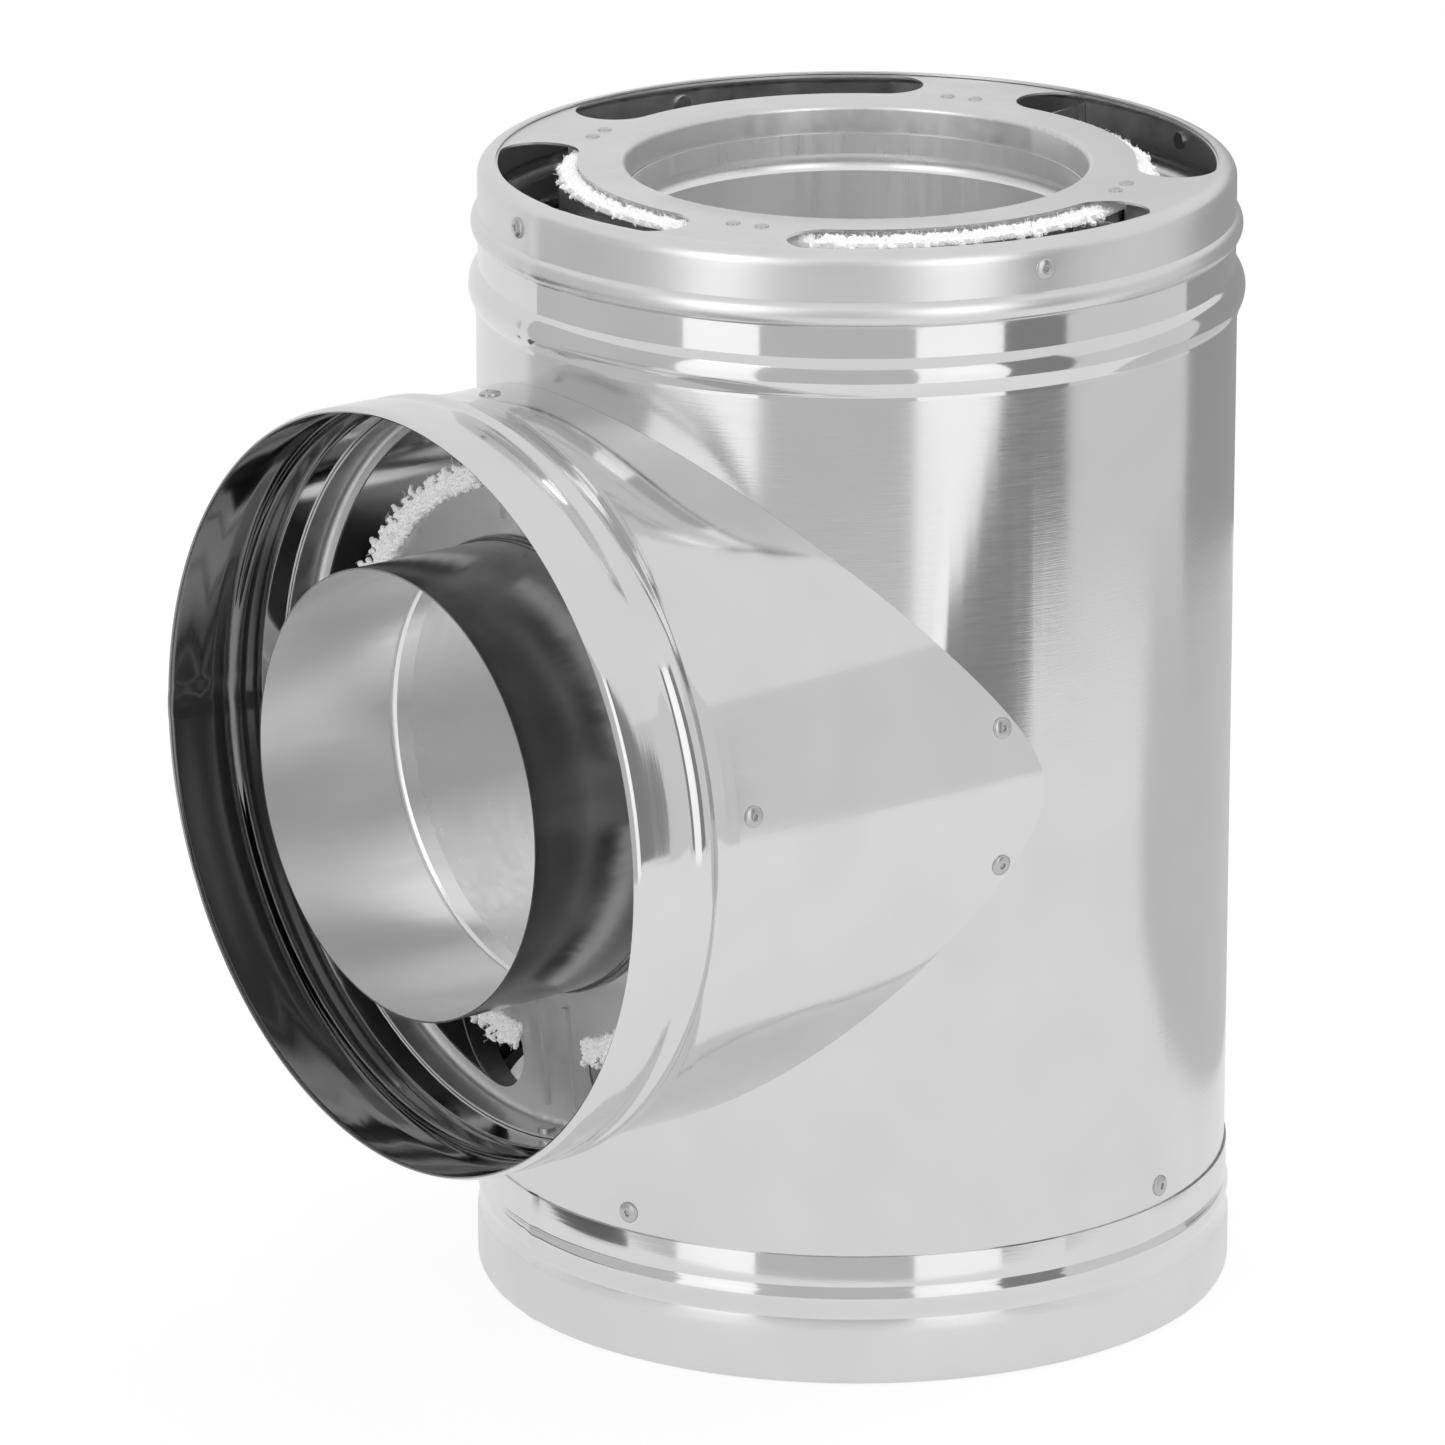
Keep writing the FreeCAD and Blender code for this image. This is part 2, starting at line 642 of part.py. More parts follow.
def arm_ribs(body, name, angle, station):
    """Two raised ribs along each arm, on the side that faces the mouth."""
    sketch = turned_sketch(body, name + "_outline", "XY_Plane", angle, station, False)
    for side in (-1, 1):
        middle = size.rib_spacing / 2 * side
        rectangle(sketch, size.rib_start, middle - size.rib_width / 2,
                  size.rib_end, middle + size.rib_width / 2)
    pad = body.newObject("PartDesign::Pad", name + "_rib")
    pad.Profile = sketch
    bind(pad, "Length", size.rib_height)
    pad.Reversed = True
    body.Tip = pad
    return around(body, name + "_ribs", [pad], size.arm_count)


def skirt_plate(name, frame, casing_bore, angle):
    """End plate set back in a skirt, with its flange turned towards the mouth."""
    body = new_body(name + "_blank", frame)
    flange = casing_bore - size.seat_gap
    flange_in = flange - size.plate
    hole = spigot_radius + size.seat_gap
    bend_start = flange - size.plate_bend
    bend_end = plate_back - size.plate_bend
    edge = size.plate_station - size.flange_length
    revolve(body, name + "_sheet", [
        (hole, size.plate_station), (hole, plate_back),
        (bend_start, plate_back, size.plate_bend, -1),
        (flange, bend_end), (flange, edge), (flange_in, edge),
        (flange_in, bend_end, size.plate_bend - size.plate, 1),
        (bend_start, size.plate_station)])
    vent_slots(body, name, angle, size.plate_station)
    arm_ribs(body, name, angle, size.plate_station)
    holes = radial_holes(name + "_holes", frame, size.end_rivet_station, angle,
                         size.ring_rivet_count, flange + HOLE_MARGIN, flange_in - HOLE_MARGIN)
    return cut(name, body, holes)


bottom_end_plate = skirt_plate("bottom_end_plate", RUN, casing_inner, size.bottom_arm_angle)
branch_end_plate = skirt_plate("branch_end_plate", BRANCH, branch_inner, size.branch_arm_angle)

plate_flange = ring_inner - size.seat_gap
plate_flange_in = plate_flange - size.plate
plate_bend_start = plate_flange - size.top_plate_bend
plate_bend_end = plate_top - size.top_plate_bend
flange_edge = size.total_height - size.top_flange_drop
throat_edge = size.total_height - size.throat_depth
throat_outer = throat_radius + size.plate
throat_start = throat_radius + size.throat_bend
throat_end = plate_top - size.throat_bend
top_blank = new_body("top_end_plate_blank", RUN)
revolve(top_blank, "top_end_plate_sheet", [
    (throat_radius, throat_edge), (throat_outer, throat_edge),
    (throat_outer, throat_end, size.throat_bend - size.plate, -1),
    (throat_start, plate_under),
    (plate_bend_start, plate_under, size.top_plate_bend - size.plate, -1),
    (plate_flange_in, plate_bend_end),
    (plate_flange_in, flange_edge), (plate_flange, flange_edge),
    (plate_flange, plate_bend_end, size.top_plate_bend, 1),
    (plate_bend_start, plate_top),
    (throat_start, plate_top, size.throat_bend, 1),
    (throat_radius, throat_end)])
vent_slots(top_blank, "top_end_plate", size.top_arm_angle, plate_top)


def arm_pair(body, name, radius, angle, low, height):
    """Two discs side by side on each arm, for rivets and the holes that take them."""
    sketch = turned_sketch(body, name + "_circles", "XY_Plane", angle, low, False)
    for side in (-1, 1):
        away = size.arm_rivet_spacing / 2 * side
        spot = Vector(size.arm_rivet_radius.value, away.value, 0)
        index = sketch.addGeometry(Part.Circle(spot, Vector(0, 0, 1), radius.value))
        constrain(sketch, "Radius", index, amount=radius)
        constrain(sketch, "DistanceX", *ORIGIN, index, CENTRE, amount=size.arm_rivet_radius)
        constrain(sketch, "DistanceY", *ORIGIN, index, CENTRE, amount=away)
    pad = body.newObject("PartDesign::Pad", name)
    pad.Profile = sketch
    bind(pad, "Length", height)
    body.Tip = pad
    return pad


clip_top = plate_under - size.hem_gap
clip_under = clip_top - size.plate
arm_tail = clip_under - size.arm_rivet_height

arm_holes = new_body("arm_holes", RUN)
hole_pins = arm_pair(arm_holes, "arm_hole_pins", size.arm_rivet_shank + size.rivet_hole_gap,
                     size.top_arm_angle, arm_tail, size.total_height - arm_tail)
around(arm_holes, "arm_hole_ring", [hole_pins], size.arm_count)
top_ring_holes = radial_holes("top_ring_holes", RUN, top_rivet_height, size.top_rivet_angle,
                              size.ring_rivet_count, size.ring_radius + HOLE_MARGIN,
                              plate_flange_in - HOLE_MARGIN)
top_end_plate = cut("top_end_plate", top_blank, fuse("top_plate_holes", arm_holes, top_ring_holes))
top_band_drilled = cut("top_band_drilled", top_band, top_ring_holes)

# Flue liners and the spigots that slide into the next pipe's liner

liner_bead_top = size.total_height - size.liner_bead_drop
liner_bead_low = liner_bead_top - size.liner_bead_span
liner_blank = new_body("flue_liner_blank", RUN)
revolve(liner_blank, "flue_liner_sheet", sheet_outline([
    (liner_outer, liner_top),
    (liner_outer, liner_bead_top, bead_round(size.liner_bead_span, size.liner_bead_rise), -1),
    (liner_outer, liner_bead_low),
    (liner_outer, inner_start)], size.wall))
flue_port = cylinder("flue_port", port_radius, size.branch_reach, BRANCH)
flue_liner = cut("flue_liner", liner_blank, flue_port)

branch_liner_tube = tube("branch_liner_tube", liner_outer, size.liner_bore,
                         size.branch_reach - inner_start, BRANCH, inner_start)
liner_saddle = cylinder("liner_saddle", liner_outer + size.slip_gap, size.total_height, RUN)
branch_liner = cut("branch_liner", branch_liner_tube, liner_saddle)


def spigot(name, frame):
    """A plain pipe end with a stop bead that seats on the end plate."""
    bead_end = size.plate_station - size.seat_gap
    tip = size.spigot_tip_inset
    path = [
        (spigot_radius, tip),
        (spigot_radius, bead_end - size.spigot_bead_span,
         bead_round(size.spigot_bead_span, size.spigot_bead_rise), 1),
        (spigot_radius, bead_end),
        (spigot_radius, tip + size.spigot_length),
    ]
    body = new_body(name, frame)
    revolve(body, name + "_sheet", sheet_outline(path, size.wall))
    return body


bottom_spigot = spigot("bottom_flue_spigot", RUN)
branch_spigot = spigot("branch_flue_spigot", BRANCH)

# Middle walls and the wool packed inside them

mid_length = size.total_height - size.mid_wall_drop - inner_start
mid_tube = tube("mid_tube", size.mid_wall_radius, mid_wall_inner, mid_length, RUN, inner_start)
mid_port = cylinder("mid_port", branch_mid_inner, size.branch_reach, BRANCH)
mid_wall = cut("mid_wall", mid_tube, mid_port)

branch_mid_tube = tube("branch_mid_tube", size.branch_mid_wall_radius, branch_mid_inner,
                       size.branch_reach - inner_start, BRANCH, inner_start)
mid_saddle = cylinder("mid_saddle", size.mid_wall_radius + size.saddle_gap,
                      size.total_height, RUN)
branch_mid_wall = cut("branch_mid_wall", branch_mid_tube, mid_saddle)

wool_top = size.total_height - size.wool_drop
wool_step = size.total_height - size.wool_step_drop
wool_step_radius = liner_outer + size.wool_relief
wool_blank = new_body("run_wool_blank", RUN)
revolve(wool_blank, "run_wool_ring", [
    (wool_inner, inner_start), (wool_outer, inner_start), (wool_outer, wool_top),
    (wool_step_radius, wool_top), (wool_step_radius, wool_step), (wool_inner, wool_step)])
run_wool = cut("run_wool", wool_blank, mid_port)

branch_wool_tube = tube("branch_wool_tube", branch_wool_outer, wool_inner,
                        size.branch_reach - inner_start - size.slip_gap, BRANCH, inner_start)
wool_saddle = cylinder("wool_saddle", wool_inner, size.total_height, RUN)
branch_wool = cut("branch_wool", branch_wool_tube, wool_saddle)

# Clips that hang the middle wall from the arms, and fins that keep it off the casing

clip_face = size.mid_wall_radius + size.seat_gap
clip_back = clip_face + size.plate
clip_blank = new_body("mid_wall_clips_blank", RUN)
clip_sketch = turned_sketch(clip_blank, "clip_outline", "XZ_Plane", size.top_arm_angle,
                            as_size(0), True)
clip_low = size.total_height - size.clip_drop
outline(clip_sketch, [
    (size.clip_inner_reach, clip_under), (clip_face - size.clip_bend, clip_under,
                                          size.clip_bend, -1),
    (clip_face, clip_under - size.clip_bend), (clip_face, clip_low), (clip_back, clip_low),
    (clip_back, clip_under - size.clip_bend, size.clip_bend + size.plate, 1),
    (clip_face - size.clip_bend, clip_top), (size.clip_inner_reach, clip_top)])
clip_pad = clip_blank.newObject("PartDesign::Pad", "clip_strip")
clip_pad.Profile = clip_sketch
clip_pad.Midplane = True
bind(clip_pad, "Length", size.clip_width)
clip_blank.Tip = clip_pad
around(clip_blank, "clip_ring", [clip_pad], size.arm_count)
mid_wall_clips = cut("mid_wall_clips", clip_blank, arm_holes)

fins = new_body("wall_spacers", RUN)
fin_low = size.total_height - size.spacer_drop
fin_sketch = turned_sketch(fins, "fin_outline", "XY_Plane", size.spacer_angle, fin_low, False)
fin_end = plate_flange_in - size.seat_gap
outline(fin_sketch, [
    (clip_face, -size.spacer_foot), (clip_back, -size.spacer_foot), (clip_back, 0 - size.plate),
    (fin_end, 0 - size.plate), (fin_end, 0), (clip_face, 0)])
fin_pad = fins.newObject("PartDesign::Pad", "fin")
fin_pad.Profile = fin_sketch
bind(fin_pad, "Length", plate_bend_end - size.seat_gap - fin_low)
fins.Tip = fin_pad
around(fins, "fin_ring", [fin_pad], size.arm_count)

# Rivets

arm_rivets = new_body("arm_rivets", RUN)
arm_features = [
    arm_pair(arm_rivets, "arm_rivet_shanks", size.arm_rivet_shank, size.top_arm_angle,
             arm_tail, plate_top + size.arm_rivet_height / 2 - arm_tail),
    arm_pair(arm_rivets, "arm_rivet_heads", size.arm_rivet_head, size.top_arm_angle,
             plate_top, size.arm_rivet_height),
    arm_pair(arm_rivets, "arm_rivet_tails", size.arm_rivet_head, size.top_arm_angle,
             arm_tail, size.arm_rivet_height),
]
around(arm_rivets, "arm_rivet_ring", arm_features, size.arm_count)

end_grip = size.wall + size.seat_gap + size.plate
top_rivets = rivet_ring("top_rivets", RUN, top_rivet_height, size.top_rivet_angle,
                        size.ring_rivet_count, size.ring_radius, end_grip)
bottom_rivets = rivet_ring("bottom_rivets", RUN, size.end_rivet_station,
                           size.bottom_arm_angle, size.ring_rivet_count,
                           size.casing_radius, end_grip)
branch_rivets = rivet_ring("branch_rivets", BRANCH, size.end_rivet_station,
                           size.branch_arm_angle, size.ring_rivet_count,
                           size.branch_radius, end_grip)
saddle_grip = size.wall * 2 + size.hem_gap
saddle_rivets = doc.addObject("Part::Compound", "saddle_rivets")
saddle_rivets.Links = [
    saddle_pair(rivet_ring, f"saddle_rivets_{flank}", as_size(side),
                size.branch_radius, saddle_grip)
    for flank, side in (("right", 0), ("left", 180))]

NODES = {
    "casing_body": casing_body,
    "branch_casing": branch_casing,
    "top_band": top_band_drilled,
    "bottom_band": bottom_band,
    "branch_band": branch_band,
    "top_end_plate": top_end_plate,
    "bottom_end_plate": bottom_end_plate,
    "branch_end_plate": branch_end_plate,
    "flue_liner": flue_liner,
    "branch_liner": branch_liner,
    "bottom_flue_spigot": bottom_spigot,
    "branch_flue_spigot": branch_spigot,
    "mid_wall": mid_wall,
    "branch_mid_wall": branch_mid_wall,
    "run_wool": run_wool,
    "branch_wool": branch_wool,
    "mid_wall_clips": mid_wall_clips,
    "wall_spacers": fins,
    "top_rivets": top_rivets,
    "bottom_rivets": bottom_rivets,
    "branch_rivets": branch_rivets,
    "saddle_rivets": saddle_rivets,
    "arm_rivets": arm_rivets,
}
doc.recompute()

faults = [piece.Name for piece in doc.Objects
          if {"Invalid", "Error"} & set(piece.State)]
if faults:
    raise RuntimeError("these objects failed: " + ", ".join(faults))

os.makedirs("parts", exist_ok=True)
for label, node in NODES.items():
    node.Label = label
    if node.Shape.isNull() or not node.Shape.isValid():
        raise RuntimeError(f"{label} has no valid shape")
for label, node in NODES.items():
    node.Shape.exportStep(os.path.join("parts", label + ".step"))
    print(label, len(node.Shape.Solids), "solids,", round(node.Shape.Volume / 1000, 2), "cm3")
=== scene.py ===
# %% [markdown]
# An insulated stove pipe tee, dressed over its CAD frame.
# The real thing is a chimney fitting: three pipes inside each other, an upright run and a
# level branch, all in bright stainless sheet with white ceramic wool between the walls.
# Almost everything you see is thin metal that mirrors the studio, so this lesson is mostly
# about three things: smooth surfaces, honest steel, and giving the steel something to mirror.

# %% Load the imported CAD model
import math
import bmesh
import bpy
from mathutils import Matrix, Vector


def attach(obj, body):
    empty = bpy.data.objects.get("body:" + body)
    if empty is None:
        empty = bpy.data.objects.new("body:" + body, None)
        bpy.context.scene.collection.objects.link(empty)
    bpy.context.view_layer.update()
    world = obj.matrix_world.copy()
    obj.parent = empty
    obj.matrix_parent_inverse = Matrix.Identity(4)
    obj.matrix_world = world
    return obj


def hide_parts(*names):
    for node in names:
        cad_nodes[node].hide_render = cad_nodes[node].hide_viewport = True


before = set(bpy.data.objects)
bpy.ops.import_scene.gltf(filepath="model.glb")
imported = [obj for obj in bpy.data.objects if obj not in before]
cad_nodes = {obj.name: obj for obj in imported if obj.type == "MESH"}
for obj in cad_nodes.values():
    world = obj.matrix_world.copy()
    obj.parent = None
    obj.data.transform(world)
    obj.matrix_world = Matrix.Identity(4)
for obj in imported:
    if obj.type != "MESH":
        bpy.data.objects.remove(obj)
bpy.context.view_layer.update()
MM = 0.001


def put(name, data):
    """Make an object and put it in the scene."""
    made = bpy.data.objects.new(name, data)
    bpy.context.scene.collection.objects.link(made)
    return made


# %% [markdown]
# The camera comes first, because every later choice is judged through it.
# The picture was taken from the branch's side and a little above, with a long lens. It was
# then straightened, so that upright edges stay upright. A plain camera can't do that without
# a large shift, and a shift would push the object out of every other view, so this one
# stands a little further back with a longer lens, which keeps the upright edges nearly so.

# %% Camera at the picture's angle
CAMERA_DISTANCE = 3.2
CAMERA_HEIGHT = 1.19
CAMERA_POLAR = math.radians(-39.1)
LOOK_DOWN = math.radians(17.36)
LOOK_LEFT = 0.0447
PICTURE_SIZE = 1445
FOCAL_PIXELS = 9912
SENSOR_WIDTH = 36

toward = Vector((math.cos(CAMERA_POLAR), math.sin(CAMERA_POLAR), 0))
picture_right = Vector((-toward.y, toward.x, 0))
eye = toward * CAMERA_DISTANCE + Vector((0, 0, CAMERA_HEIGHT))
aim_height = CAMERA_HEIGHT - CAMERA_DISTANCE * math.tan(LOOK_DOWN)
aim = Vector((0, 0, aim_height)) - picture_right * LOOK_LEFT

lens = bpy.data.cameras.new("picture_camera")
lens.sensor_width = SENSOR_WIDTH
lens.lens = SENSOR_WIDTH * FOCAL_PIXELS / PICTURE_SIZE
lens.clip_end = 50
camera = put("picture_camera", lens)
camera.location = eye
camera.rotation_mode = "QUATERNION"
camera.rotation_quaternion = (aim - eye).to_track_quat("-Z", "Y")
bpy.context.scene.camera = camera
print("lens:", round(lens.lens, 1), "mm, aimed", round(aim_height, 3), "m above the floor")

# %% [markdown]
# Node trees are wired by hand in the editor, but long formulas are easier to read as text.
# One class wraps an output socket, so that a plus or a minus adds a Math node, and one
# method adds any other node. Shader trees and geometry trees both use them.

# %% Node helpers


def grey(level):
    """A neutral colour."""
    return (level, level, level, 1)


class Socket:
    """An output socket. Ordinary arithmetic on it adds Math nodes."""

    def __init__(self, graph, output):
        self.graph = graph
        self.output = output

    def maths(self, operation, *numbers):
        values = dict(enumerate(numbers))
        return self.graph.node("ShaderNodeMath", {"operation": operation}, values)

    def __add__(self, other):
        return self.maths("ADD", self, other)

    def __sub__(self, other):
        return self.maths("SUBTRACT", self, other)

    def __rsub__(self, other):
        return self.maths("SUBTRACT", other, self)

    def __mul__(self, other):
        return self.maths("MULTIPLY", self, other)

    def __lt__(self, other):
        return self.maths("LESS_THAN", self, other)

    def __abs__(self):
        return self.maths("ABSOLUTE", self)

    __radd__ = __add__
    __rmul__ = __mul__

    def cosine(self):
        return self.maths("COSINE", self)

    def sine(self):
        return self.maths("SINE", self)


class Graph:
    """A node tree that is filled by one method."""

    def __init__(self, tree):
        self.tree = tree
        self.inputs = {}

    def node(self, kind, settings=None, values=None, output=0):
        made = self.tree.nodes.new(kind)
        for name, setting in (settings or {}).items():
            if name == "stops":
                ramp = made.color_ramp.elements
                while len(ramp) < len(setting):
                    ramp.new(0.5)
                for element, (position, level) in zip(ramp, setting):
                    element.position = position
                    element.color = grey(level)
            else:
                setattr(made, name, setting)
        for name, value in (values or {}).items():
            if isinstance(value, Socket):
                self.tree.links.new(value.output, made.inputs[name])
            else:
                made.inputs[name].default_value = value
        return Socket(self, made.outputs[output]) if made.outputs else None

    def other(self, socket, output):
        """Another output of the node that a socket belongs to."""
        return Socket(self, socket.output.node.outputs[output])

    def blend(self, factor, first, second):
        """Mix two colours."""
        return self.node("ShaderNodeMix", {"data_type": "RGBA"},
                         {0: factor, 6: first, 7: second}, 2)

    def xyz(self, x, y, z):
        return self.node("ShaderNodeCombineXYZ", None, {0: x, 1: y, 2: z})

    def maximum(self, first, second):
        return self.node("ShaderNodeMath", {"operation": "MAXIMUM"}, {0: first, 1: second})


def empty_material(name):
    """A material with no nodes yet. Its glow, if any, isn't sampled as a lamp."""
    material = bpy.data.materials.new(name)
    material.use_nodes = True
    material.node_tree.nodes.clear()
    material.cycles.emission_sampling = "NONE"
    return material, Graph(material.node_tree)


print("helpers ready")

# %% [markdown]
# The studio. Polished metal has no colour of its own: it shows the room. The room here is a
# white sweep of paper and a white surround, as a product photographer would hang them. Both
# glow a little where they are seen, so that the paper comes out white and not grey, and
# a little less where the metal mirrors them.

# %% Studio floor and surround
FLOOR_RADIUS = 5.0
FLOOR_DROP = 0.0005
PAPER_GREY = 0.82
GLOW_SHARE = 0.8
GLOW_SEEN = 1.06
GLOW_LOST_IN_METAL = 0.18
SKY_LEVEL = 0.84

floor_mesh = bpy.data.meshes.new("studio_floor")
floor_edit = bmesh.new()
bmesh.ops.create_circle(floor_edit, cap_ends=True, segments=96, radius=FLOOR_RADIUS)
floor_edit.to_mesh(floor_mesh)
floor_edit.free()
floor = put("studio_floor", floor_mesh)
floor.location.z = -FLOOR_DROP

floor_material, floor_graph = empty_material("studio_floor")
camera_ray = floor_graph.node("ShaderNodeLightPath")
glossy_ray = floor_graph.other(camera_ray, "Is Glossy Ray")
clear_ray = floor_graph.other(camera_ray, "Is Transmission Ray")
seen = floor_graph.maximum(camera_ray, floor_graph.maximum(glossy_ray, clear_ray))
paper = floor_graph.node("ShaderNodeBsdfDiffuse", None, {"Color": grey(PAPER_GREY)})
glow_level = GLOW_SEEN - glossy_ray * GLOW_LOST_IN_METAL
glow = floor_graph.node("ShaderNodeEmission", None, {"Color": grey(1.0), "Strength": glow_level})
sheet = floor_graph.node("ShaderNodeMixShader", None,
                         {0: seen * GLOW_SHARE, 1: paper, 2: glow})
floor_graph.node("ShaderNodeOutputMaterial", None, {"Surface": sheet})
floor_mesh.materials.append(floor_material)

world = bpy.data.worlds.new("studio")
world.use_nodes = True
world.node_tree.nodes.clear()
world_graph = Graph(world.node_tree)
world_ray = world_graph.node("ShaderNodeLightPath")
world_seen = world_graph.maximum(world_ray, world_graph.other(world_ray, "Is Transmission Ray"))
world_level = SKY_LEVEL + (1.0 - SKY_LEVEL) * world_seen
sky = world_graph.node("ShaderNodeBackground", None, {"Color": grey(1.0), "Strength": world_level})
world_graph.node("ShaderNodeOutputWorld", None, {"Surface": sky})
world.cycles.sampling_method = "NONE"
bpy.context.scene.world = world
bpy.context.scene.view_settings.view_transform = "Standard"
print("floor and surround ready")

# %% [markdown]
# The bands of light and dark that run down the real casing are mirror images of whatever stood
# round it. Three soft boxes give the light. Curved cards, bright, grey and dark, stand in a
# ring where the bands come from, and two round cloths lie on the floor for the lower half,
# which mirrors the floor. Cards and cloths show in reflections only, so no view meets them.

# %% Soft boxes, cards and cloths
CARD_DISTANCE = 0.92
CARD_STEPS = 12
CLOTH_HEIGHT = 0.002
LAMP_AIM = Vector((0, 0, 0.2))


def around_object(bearing, distance, height):
    """A spot at a bearing from the camera's side of the object, to the right if positive."""
    heading = CAMERA_POLAR + math.radians(bearing)
    return Vector((math.cos(heading) * distance, math.sin(heading) * distance, height))


def soft_box(name, bearing, distance, height, size, watts):
    """A rectangular lamp that looks at the middle of the object."""
    light = bpy.data.lights.new(name, "AREA")
    light.shape = "RECTANGLE"
    light.size, light.size_y = size
    light.energy = watts
    lamp = put(name, light)
    lamp.location = around_object(bearing, distance, height)
    lamp.rotation_mode = "QUATERNION"
    lamp.rotation_quaternion = (LAMP_AIM - lamp.location).to_track_quat("-Z", "Y")
    return lamp


def reflected_only(name, edit, level):
    """Turn an edit mesh into a plain grey thing that shows in reflections and nowhere else."""
    mesh = bpy.data.meshes.new(name)
    edit.to_mesh(mesh)
    edit.free()
    material, graph = empty_material(name)
    tone = graph.node("ShaderNodeEmission", None, {"Color": grey(level), "Strength": 1.0})
    graph.node("ShaderNodeOutputMaterial", None, {"Surface": tone})
    mesh.materials.append(material)
    made = put(name, mesh)
    for ray in ("camera", "diffuse", "transmission", "volume_scatter", "shadow"):
        setattr(made, "visible_" + ray, False)


def card(name, left, right, low, high, level):
    """A curved card that stands between two bearings and two heights."""
    edit = bmesh.new()
    columns = []
    for step in range(CARD_STEPS + 1):
        bearing = left + (right - left) * step / CARD_STEPS
        columns.append([edit.verts.new(around_object(bearing, CARD_DISTANCE, height))
                        for height in (low, high)])
    for one, two in zip(columns, columns[1:]):
        edit.faces.new((one[0], two[0], two[1], one[1]))
    reflected_only(name, edit, level)


def cloth(name, bearing, distance, radius, level):
    """A round cloth that lies on the floor."""
    edit = bmesh.new()
    middle = Matrix.Translation(around_object(bearing, distance, CLOTH_HEIGHT))
    bmesh.ops.create_circle(edit, cap_ends=True, segments=48, radius=radius, matrix=middle)
    reflected_only(name, edit, level)


soft_box("left_soft_box", -38, 1.9, 1.0, (0.7, 1.1), 7)
soft_box("right_soft_box", 32, 1.9, 0.9, (0.6, 1.1), 6)
top_box = soft_box("top_soft_box", 150, 0.7, 2.2, (1.4, 1.4), 10)
top_box.visible_glossy = False
card("grey_card_left", -110, -50, 0.0, 0.9, 0.6)
card("bright_card_left", -50, -27, 0.0, 0.9, 1.2)
card("grey_card_middle", -27, 17, 0.0, 0.9, 0.58)
card("bright_card_right", 17, 42, 0.0, 0.9, 1.15)
card("dark_card_right", 42, 62, 0.035, 0.9, 0.26)
card("grey_card_right", 62, 112, 0.0, 0.6, 0.72)
card("grey_card_side", 112, 175, 0.0, 0.6, 0.36)
cloth("dark_cloth", -92, 0.78, 0.36, 0.12)
cloth("grey_cloth", 128, 0.74, 0.47, 0.62)
print("soft boxes: 3, cards: 7, cloths: 2")

# %% [markdown]
# The steel. Stainless sheet is bright and neutral, with three things on it: fine grooves left
# by the rolling mill, long shallow waves from being bent round a pipe, and a faint haze of
# handling marks. A metallic Principled shader with one bump for the waves, one for the grooves
# and a streaked roughness gives all three. Only the amounts differ between pieces. Heights
# turn a band matt where it was worked, and lean it in at the foot. The insides of pipes get
# a little light of their own, in place of the many mirror bounces that aren't followed.
# Liners and the spigots' insides also have a slightly lighter tone, painted light in place of the
# same bounces. The branch's mouth has painted shade: a dark inside on its band and a dark outside
# on its spigot.

# %% Steel
MATT_ROUGHNESS = 0.24
INSIDE_BELOW = -0.03
STREAKED_SHARE = 0.9
CLOUD_DARKENING = 0.04


